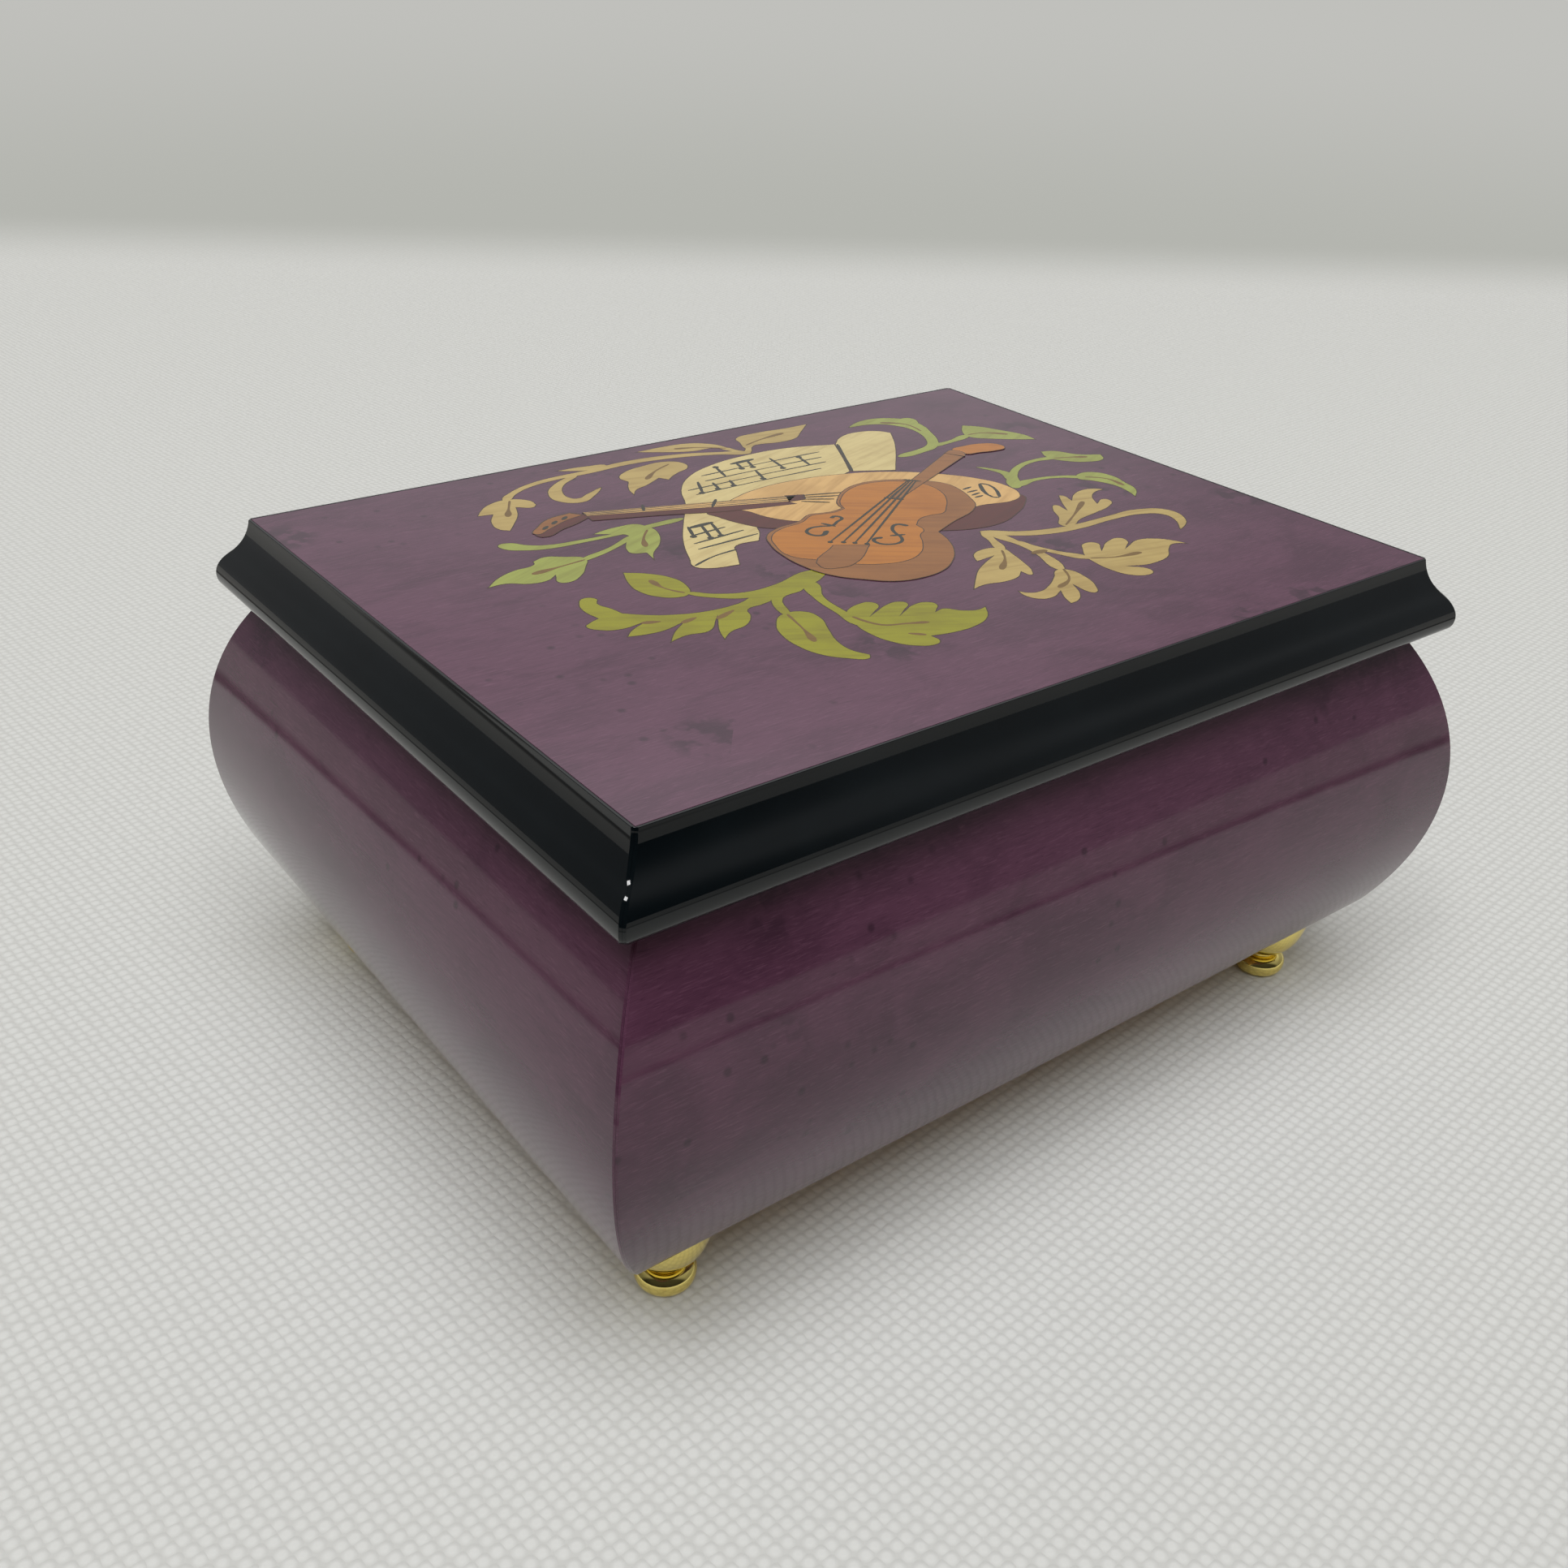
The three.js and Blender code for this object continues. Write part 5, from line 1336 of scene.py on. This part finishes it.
RIGHT_GREEN_VEINS = [
    "131,92,.3 134,91.5,.4 137.6,88.4,.8",
    "124.6,99,.3 124.8,104,.4 121.5,107.2,.8",
    "135,72,.3 138,70.8,.4 140.6,69.4,.8",
    "132,60.8,.3 134.6,58,.4 134.6,54,.7",
]
SCORE_SHEET = (
    "48.5,62.5 49.7,66 53,73 57.5,80 63,88 66,94 71,99.5 78,103 87,104.5 96,104 105,101! 101,93 97.5,86.5! "
    "90,84 75,84 69,78 66,70 63.5,66.5! 59,66.5 57.5,64 55,59.5! 50,60.8"
)
SCORE_ROLL = "105,101! 108.5,104 113,105 117.5,103.2 118.8,101! 115,95 105,82.5! 97.5,86.5! 101,93"
SCORE_LINES = [
    "73.5,98.75,.3 86,98.95,.3 99.5,98.75,.3",
    "72.5,96,.3 85,96.2,.3 98,96,.3",
    "67.25,93.35,.3 82,93.55,.3 97,93.35,.3",
    "67.25,90.75,.3 80,90.95,.3 94,90.75,.3",
    "55.5,74.25,.3 62.25,74.75,.3",
    "54,71,.3 64,71.9,.3",
    "53.25,68.6,.3 65,69.25,.3",
    "105.3,100.6,.4 101.4,93,.4 98,86.6,.4",
    "49,63,.35 53.5,64.7,.35 58,65.25,.35",
]
SCORE_STEMS = [
    "78.25,101.5,.35 76.9,96.25,.35",
    "82.75,101.5,.35 82,98.5,.35",
    "85.2,101.6,.35 84.2,98.25,.35",
    "89.5,100.5,.35 88.5,94.75,.35",
    "94.5,98.25,.35 93.5,93.5,.35",
    "71,96.25,.35 68.7,91.2,.35",
    "73,94.5,.35 72.25,91.5,.35",
    "76.25,94,.35 75.5,91.5,.35",
    "83.25,96,.35 82,91.75,.35",
    "57.25,78,.35 55.75,74,.35",
    "59.5,77.5,.35 57.75,72,.35",
    "61.5,77.6,.35 59.75,72,.35",
    "81.75,101.5,.65 86.5,101.75,.65",
    "57.25,77.5,.65 61.7,77.75,.65",
]
SCORE_HEADS = (
    "78.25,101.5 81.8,98.3 84,98 88.3,94.6 94.5,98.25 68.5,91 72,91.3 75.3,91.3 81.8,91.6 55.6,73.8 "
    "57.6,71.8 59.6,71.8"
)
HEAD_RADIUS = 0.6
MANDOLIN_BOWL = (
    "63.5,82 63.9,79.5 65,75.5 67.5,70.8 70,69 80,60 90,54.5 96,51.6 102,51 108,53.2 113,56.5 115.2,59.5 "
    "105,75 80,82"
)
MANDOLIN_TOP = (
    "64.6,81.9 70,85 77,87.5 85,88 94,86.5 103,82.8 110,77 115,70 116.3,65 115,60 112,58.3 105,59.5 90,58 "
    "76,68.4 74,70.2 72,72.5 70.5,75.5 69.5,79.2 68,80.8"
)
MANDOLIN_NECK = "46,91.8! 62,85.5 78.4,79.3! 79,77.4! 66,81 58,84.5 45.7,89!"
MANDOLIN_END = "79.6,82.1! 82.9,80.7! 81.6,78.4! 78.2,79!"
MANDOLIN_BOARD = "46.25,93.4! 64,87.2 81.6,81! 78.6,79! 62,85.2 46,91.4!"
MANDOLIN_HEAD = "35.5,86.5 34.8,88 37,91.5 40,93.7 44.5,94.5! 46.3,91.5 44,89.6 40,88.1"
MANDOLIN_HEAD_FACE = "34.9,88.3 37,91.4 40,93.6 44.4,94.3! 45.8,92.2! 42,91.2 38.4,89.4"
MANDOLIN_STRINGS = [
    "46.2,92.9,.22 64,86.7,.22 81,80.7,.22",
    "46.1,92.4,.22 63,86.3,.22 80,80.2,.22",
    "46,91.9,.22 62,85.9,.22 79,79.6,.22",
    "82.4,80.4,.25 89,78,.25",
    "81.8,79.6,.25 87.4,77,.25",
    "81.2,78.8,.25 85.7,76,.25",
    "80.4,78,.25 84,75,.25",
    "56.5,91,.35 55.25,88.5,.35",
    "68.5,86.75,.35 66,84,.35",
    "37.2,89.7,.55 38.2,90.5,.55",
    "39.6,91.1,.55 40.6,91.9,.55",
    "42,92.1,.55 43,92.9,.55",
]
MANDOLIN_BRIDGE = [
    "113,68.3,.5 113.7,67,.5 111.1,61.2,.5",
    "110.6,61,.5 109.9,61.9,.5 112.6,68.2,.5",
    "108.2,67.6,.35 110.2,67.9,.35",
    "107.9,66,.35 110,66,.35",
    "107.5,64.4,.35 109.4,64.7,.35",
    "107.2,63.2,.35 108.9,63.3,.35",
]
VIOLIN_RIBS = (
    "62.75,60 63.75,64 65.5,67.5 69,69.5 74,70.25 77.5,72 79.5,71.5 81.5,71.1 84,71.5! 84.5,73.5 86.5,76 "
    "90,78.75 94,80.1 98,79.75 102.5,77.75 106,74.5 107.75,71.5 107.75,68.5 106.5,64 104,59.5 95,55.5 "
    "90.5,53.5! 89.5,50 87,45.5 83.5,42 80,40 76,39.4 71,40.5 67,44 64,48 62.6,53"
)
VIOLIN_FRONT = (
    "63.4,58 64.2,63.3 66,66.8 69.2,68.8 74.2,69.6 77.5,71.3 79.6,70.9 81.6,70.5 84.2,71.1! 85,73.3 "
    "86.9,75.6 90.2,78.1 94,79.4 97.8,79 101.6,77 103.9,74.3 104.5,71.5 103.8,68 102.5,65.5 99.5,62 97,60 "
    "94.5,60.3 92,60 89.5,58! 89,55.5 87,54 85,51 81.5,47.5 77.5,46.25 73.5,47.25 70,49.5 66.5,53.75"
)
VIOLIN_TAILPIECE = "72,58.2! 77.2,55! 70.2,49.8 67,49.6 64.6,51.4"
VIOLIN_BOARD = "94.5,71.5! 95.75,69.75! 120.75,81.75! 119,85.25!"
VIOLIN_PEGBOX = "118.8,85.2! 121.4,86 122.4,83.6 121,81.6!"
VIOLIN_SCROLL = "121.4,86 125,86.8 129,86.2 131.6,84 131.2,81.6 128.4,81.2 125,82 122.2,82.6"
VIOLIN_STRINGS = [
    "72.6,59.6,.25 103.4,76.9,.25",
    "74.3,58.4,.25 103.6,76.6,.25",
    "75.7,57.1,.25 103.9,76.2,.25",
    "77.1,55.8,.25 104.2,75.8,.25",
    "93.6,71.6,.4 95.6,69.2,.4",
    "102.6,77.4,.4 104.5,75.1,.4",
]
VIOLIN_STRING_ENDS = "72.5,59.5 74.25,58.25 75.6,57 77,55.6"
STRING_END_RADIUS = 0.45
VIOLIN_MARKS = [
    "75,63.75,.8 73,62.75,.7 71.85,64.5,.65 73.1,66.25,.6 75.5,66.25,.6 77.25,65.5,.6 79.25,66.5,.6 "
    "81,67.6,.65 80.6,68.75,.7 79.75,68.6,.8",
    "76.6,67.2,.4 77.6,65,.4",
    "80.6,56.6,.8 79.2,56.6,.7 78.7,55,.65 79.8,53.5,.6 82,53.2,.6 83.5,54.8,.6 84,57,.6 85,59,.65 "
    "86.8,60,.7 87.8,58.8,.8",
    "82.6,56.4,.4 84.8,55.6,.4",
]


class JEWELBOX_OT_leaf_inlay(bpy.types.Operator):
    """Let the leaf sprays into the lid"""

    bl_idname = "jewelbox.leaf_inlay"
    bl_label = "Leaf inlay"

    def execute(self, context):
        sprays = (
            ("front_green_leaves", "green", FRONT_GREEN_STEMS, FRONT_GREEN, FRONT_GREEN_VEINS),
            ("front_cream_leaves", "cream", FRONT_CREAM_STEMS, FRONT_CREAM, FRONT_CREAM_VEINS),
            ("back_cream_leaves", "cream", BACK_CREAM_STEMS, BACK_CREAM, BACK_CREAM_VEINS),
            ("left_green_leaves", "pale_green", LEFT_GREEN_STEMS, LEFT_GREEN, LEFT_GREEN_VEINS),
            ("right_green_leaves", "pale_green", RIGHT_GREEN_STEMS, RIGHT_GREEN, RIGHT_GREEN_VEINS),
        )
        for name, kind, stems, leaves, veins in sprays:
            inlay(name, kind, 1, strokes(stems) + [drawn(words) for words in leaves])
            inlay(name + "_veins", "vein", 3, strokes(veins), edged=False)
        return {"FINISHED"}


class JEWELBOX_OT_score_inlay(bpy.types.Operator):
    """Let the sheet of music into the lid"""

    bl_idname = "jewelbox.score_inlay"
    bl_label = "Score inlay"

    def execute(self, context):
        inlay("score_sheet", "score", 4, [drawn(SCORE_SHEET)])
        inlay("score_roll", "score", 4, [drawn(SCORE_ROLL)])
        notes = strokes(SCORE_LINES + SCORE_STEMS) + dots(SCORE_HEADS, HEAD_RADIUS)
        inlay("score_notes", "ink", 6, notes, edged=False)
        return {"FINISHED"}


class JEWELBOX_OT_mandolin_inlay(bpy.types.Operator):
    """Let the mandolin into the lid"""

    bl_idname = "jewelbox.mandolin_inlay"
    bl_label = "Mandolin inlay"

    def execute(self, context):
        inlay("mandolin_bowl", "rosewood", 7, [drawn(MANDOLIN_BOWL)])
        inlay("mandolin_top", "peach", 9, [drawn(MANDOLIN_TOP)])
        inlay("mandolin_neck", "rosewood", 11, [drawn(MANDOLIN_NECK), drawn(MANDOLIN_HEAD)])
        inlay("mandolin_board", "peach", 13, [drawn(MANDOLIN_BOARD)])
        inlay("mandolin_head", "walnut", 13, [drawn(MANDOLIN_HEAD_FACE)])
        inlay("mandolin_end", "rosewood", 13, [drawn(MANDOLIN_END)])
        inlay("mandolin_strings", "ink", 15, strokes(MANDOLIN_STRINGS), edged=False)
        inlay("mandolin_bridge", "ink", 11, strokes(MANDOLIN_BRIDGE), edged=False)
        return {"FINISHED"}


class JEWELBOX_OT_violin_inlay(bpy.types.Operator):
    """Let the violin into the lid"""

    bl_idname = "jewelbox.violin_inlay"
    bl_label = "Violin inlay"

    def execute(self, context):
        inlay("violin_ribs", "walnut", 16, [drawn(VIOLIN_RIBS)])
        inlay("violin_front", "amber", 18, [drawn(VIOLIN_FRONT)])
        inlay("violin_tailpiece", "walnut", 20, [drawn(VIOLIN_TAILPIECE)])
        inlay("violin_board", "walnut", 20, [drawn(VIOLIN_BOARD)])
        inlay("violin_scroll", "amber", 20, [drawn(VIOLIN_SCROLL)])
        inlay("violin_pegbox", "walnut", 22, [drawn(VIOLIN_PEGBOX)])
        strings = strokes(VIOLIN_STRINGS) + dots(VIOLIN_STRING_ENDS, STRING_END_RADIUS)
        inlay("violin_strings", "ink", 22, strings, edged=False)
        inlay("violin_marks", "ink", 20, strokes(VIOLIN_MARKS), edged=False)
        return {"FINISHED"}


# Where the mirrored sheet's end and the line past it fade, as shares of their distance
SHEET_FADE = 1.0, 1.08
LINE_FADE = 0.95, 1.15
# How far the floor cloth's dots stray, where a dot turns into its gap, and how much painted shade darkens a
# gap
WEAVE_STRAY = 0.2
WEAVE_FADE = 0.2, 0.62
WEAVE_SHADE_SHARE = 0.28
# The room that gloss mirrors: between two heights or ways, each fade goes from one brightness to another
FRONT_BY_HEIGHT = 0.3, 0.6, 0.2, 0.28
FRONT_BY_DEPTH = -0.45, -0.15, 0.15, 1.0
BACK_BY_HEIGHT = 0.42, 0.54, 0.53, 1.0
BACK_BY_SIDE = 0.12, 0.32, 1.0, 0.6
FAR_LEFT = -0.9, -0.5, 0.62, 1.0
FRONT_TO_BACK = -0.1, 0.85
BACKDROP_HEIGHTS = -0.175, -0.055


class JEWELBOX_OT_stage(bpy.types.Operator):
    """Set the floor, the light and the camera"""

    bl_idname = "jewelbox.stage"
    bl_label = "Stage"

    def execute(self, context):
        stage = context.scene.jewelbox_stage
        context.scene.view_settings.view_transform = "Standard"
        self.lay_floor(stage)
        self.light(context, stage)
        self.aim_camera(context, stage)
        return {"FINISHED"}

    def lay_floor(self, stage):
        """Lay a pale sheet; gloss mirrors its end as a dark line, and a greyer floor past that"""
        bm = bmesh.new()
        bmesh.ops.create_circle(bm, cap_ends=True, segments=96, radius=stage.floor_radius)
        nodes = fresh("pale_floor")
        spot = nodes.place()
        away = nodes.add("ShaderNodeVectorMath", {"operation": "LENGTH"}, {0: spot}, output=1)
        glossy = nodes.add("ShaderNodeLightPath", output=3)
        line = stage.sheet_end + stage.sheet_line
        edge = glossy * nodes.fade(away, *(stage.sheet_end * share for share in SHEET_FADE))
        past = glossy * nodes.fade(away, *(line * share for share in LINE_FADE))
        shade = nodes.mix(edge, stage.floor, stage.sheet_edge)
        shade = nodes.mix(past, shade, stage.past_sheet)
        flat = nodes.place((1, 1, 0), (0, 0, stage.weave_turn))
        gaps = nodes.fade(nodes.cells(flat, 1 / stage.weave, scatter=WEAVE_STRAY), *WEAVE_FADE)
        # Painted shade darkens the gaps between the weave's raised dots
        shade = nodes.mix(gaps * WEAVE_SHADE_SHARE, shade, stage.weave_gap)
        cloth = nodes.add("ShaderNodeBsdfPrincipled", {}, {
            "Base Color": shade, "Roughness": 0.85, "Specular IOR Level": 0.2,
            "Normal": nodes.bump(gaps, -stage.weave_relief, 0.5),
        })
        gone = nodes.fade(
            nodes.along(spot, (math.sin(stage.floor_heading), math.cos(stage.floor_heading), 0)),
            stage.floor_end, stage.floor_gone,
        )
        clear = nodes.add("ShaderNodeBsdfTransparent")
        ending = nodes.add("ShaderNodeMixShader", {}, {0: gone, 1: cloth, 2: clear})
        mesh = bpy.data.meshes.new("floor")
        bm.to_mesh(mesh)
        bm.free()
        mesh.materials.append(nodes.finished(ending))
        floor = bpy.data.objects.new("floor", mesh)
        bpy.context.scene.collection.objects.link(floor)

    def mirrored_room(self, nodes, way, height, stage):
        """How bright the room is that gloss mirrors, dim towards the viewer and bright past the box"""
        depth = nodes.along(way, (math.sin(stage.heading), math.cos(stage.heading), 0))
        aside = nodes.along(way, (math.cos(stage.heading), -math.sin(stage.heading), 0))
        front = nodes.fade(height, *FRONT_BY_HEIGHT) * nodes.fade(depth, *FRONT_BY_DEPTH)
        back = nodes.fade(height, *BACK_BY_HEIGHT) * nodes.fade(aside, *BACK_BY_SIDE)
        share = nodes.fade(depth, *FRONT_TO_BACK)
        return (front * (1 - share) + back * share) * nodes.fade(aside, *FAR_LEFT)

    def light(self, context, stage):
        """A soft lamp overhead, a small one for the glints, and a room that gloss mirrors"""
        world = bpy.data.worlds.new("studio")
        context.scene.world = world
        nodes = Nodes(world)
        way = nodes.add("ShaderNodeTexCoord", output=0)
        height = nodes.along(way, (0, 0, 1))
        mirrored = self.mirrored_room(nodes, way, height, stage)
        glossy = nodes.add("ShaderNodeLightPath", output=3)
        seen = nodes.add("ShaderNodeLightPath", output=0)
        lit = tuple(level * stage.room_light for level in stage.room_tint)
        wall = nodes.mix(nodes.fade(height, *BACKDROP_HEIGHTS), stage.backdrop, stage.backdrop_top)
        shade = nodes.mix(seen, nodes.mix(glossy, lit, mirrored), wall)
        sky = nodes.add("ShaderNodeBackground", {}, {"Color": shade, "Strength": 1.0})
        nodes.finished(sky, "ShaderNodeOutputWorld")
        lean = math.sin(stage.lamp_tilt)
        over = Vector((
            -math.sin(stage.heading) * lean, -math.cos(stage.heading) * lean, math.cos(stage.lamp_tilt),
        ))
        soft = self.hang_lamp(context, "soft_lamp", "SUN", over, stage.lamp_strength)
        soft.data.angle = stage.lamp_spread
        soft.data.color = stage.lamp_tint
        soft.visible_glossy = False
        corner = Vector(stage.glint_place)
        glint = self.hang_lamp(context, "glint_lamp", "AREA", corner, stage.glint_power)
        glint.data.size = stage.glint_size

    def hang_lamp(self, context, name, kind, place, power):
        """Hang a lamp in its place, aimed at the box"""
        lamp = bpy.data.lights.new(name, kind)
        lamp.energy = power
        holder = bpy.data.objects.new(name, lamp)
        holder.location = place
        holder.rotation_euler = (-place).to_track_quat("-Z", "Y").to_euler()
        context.scene.collection.objects.link(holder)
        return holder

    def aim_camera(self, context, stage):
        """Set the camera in its place, and turn it by its heading, then downward, then by its roll"""
        heading, flat = stage.heading, math.cos(stage.downward)
        ahead = Vector((math.sin(heading) * flat, math.cos(heading) * flat, -math.sin(stage.downward)))
        level = Vector((math.cos(heading), -math.sin(heading), 0))
        right = level * math.cos(stage.roll) + level.cross(ahead) * math.sin(stage.roll)
        up = right.cross(ahead)
        data = bpy.data.cameras.new("camera")
        data.lens = stage.lens
        data.sensor_width = stage.sensor
        camera = bpy.data.objects.new("camera", data)
        turn = Matrix((right, up, -ahead)).transposed().to_4x4()
        camera.matrix_world = Matrix.Translation((stage.camera_x, stage.camera_y, stage.camera_z)) @ turn
        context.scene.collection.objects.link(camera)
        context.scene.camera = camera


class JEWELBOX_PT_panel(bpy.types.Panel):
    """List the steps that build the box"""

    bl_label = "Jewellery Box"
    bl_idname = "JEWELBOX_PT_panel"
    bl_space_type = "VIEW_3D"
    bl_region_type = "UI"
    bl_category = "Jewellery Box"

    def draw(self, context):
        for step in STEPS:
            self.layout.operator(step.bl_idname)


STEPS = (
    JEWELBOX_OT_stage,
    JEWELBOX_OT_walls,
    JEWELBOX_OT_mouldings,
    JEWELBOX_OT_boards,
    JEWELBOX_OT_feet,
    JEWELBOX_OT_hinges,
    JEWELBOX_OT_linings,
    JEWELBOX_OT_pads,
    JEWELBOX_OT_pane,
    JEWELBOX_OT_movement,
    JEWELBOX_OT_leaf_inlay,
    JEWELBOX_OT_score_inlay,
    JEWELBOX_OT_mandolin_inlay,
    JEWELBOX_OT_violin_inlay,
)
SETTINGS = {
    "jewelbox_case": CaseSizes,
    "jewelbox_lid": LidSizes,
    "jewelbox_foot": FootSizes,
    "jewelbox_hinge": HingeSizes,
    "jewelbox_inlay": InlaySizes,
    "jewelbox_soft": SoftSizes,
    "jewelbox_movement": MovementSizes,
    "jewelbox_colours": Colours,
    "jewelbox_stage": StageSettings,
}


def register():
    for name, group in SETTINGS.items():
        bpy.utils.register_class(group)
        setattr(bpy.types.Scene, name, bpy.props.PointerProperty(type=group))
    for step in STEPS:
        bpy.utils.register_class(step)
    bpy.utils.register_class(JEWELBOX_PT_panel)


def unregister():
    bpy.utils.unregister_class(JEWELBOX_PT_panel)
    for step in reversed(STEPS):
        bpy.utils.unregister_class(step)
    for name, group in SETTINGS.items():
        delattr(bpy.types.Scene, name)
        bpy.utils.unregister_class(group)


def main():
    register()
    for step in STEPS:
        group, name = step.bl_idname.split(".")
        getattr(getattr(bpy.ops, group), name)()


if __name__ == "__main__":
    main()
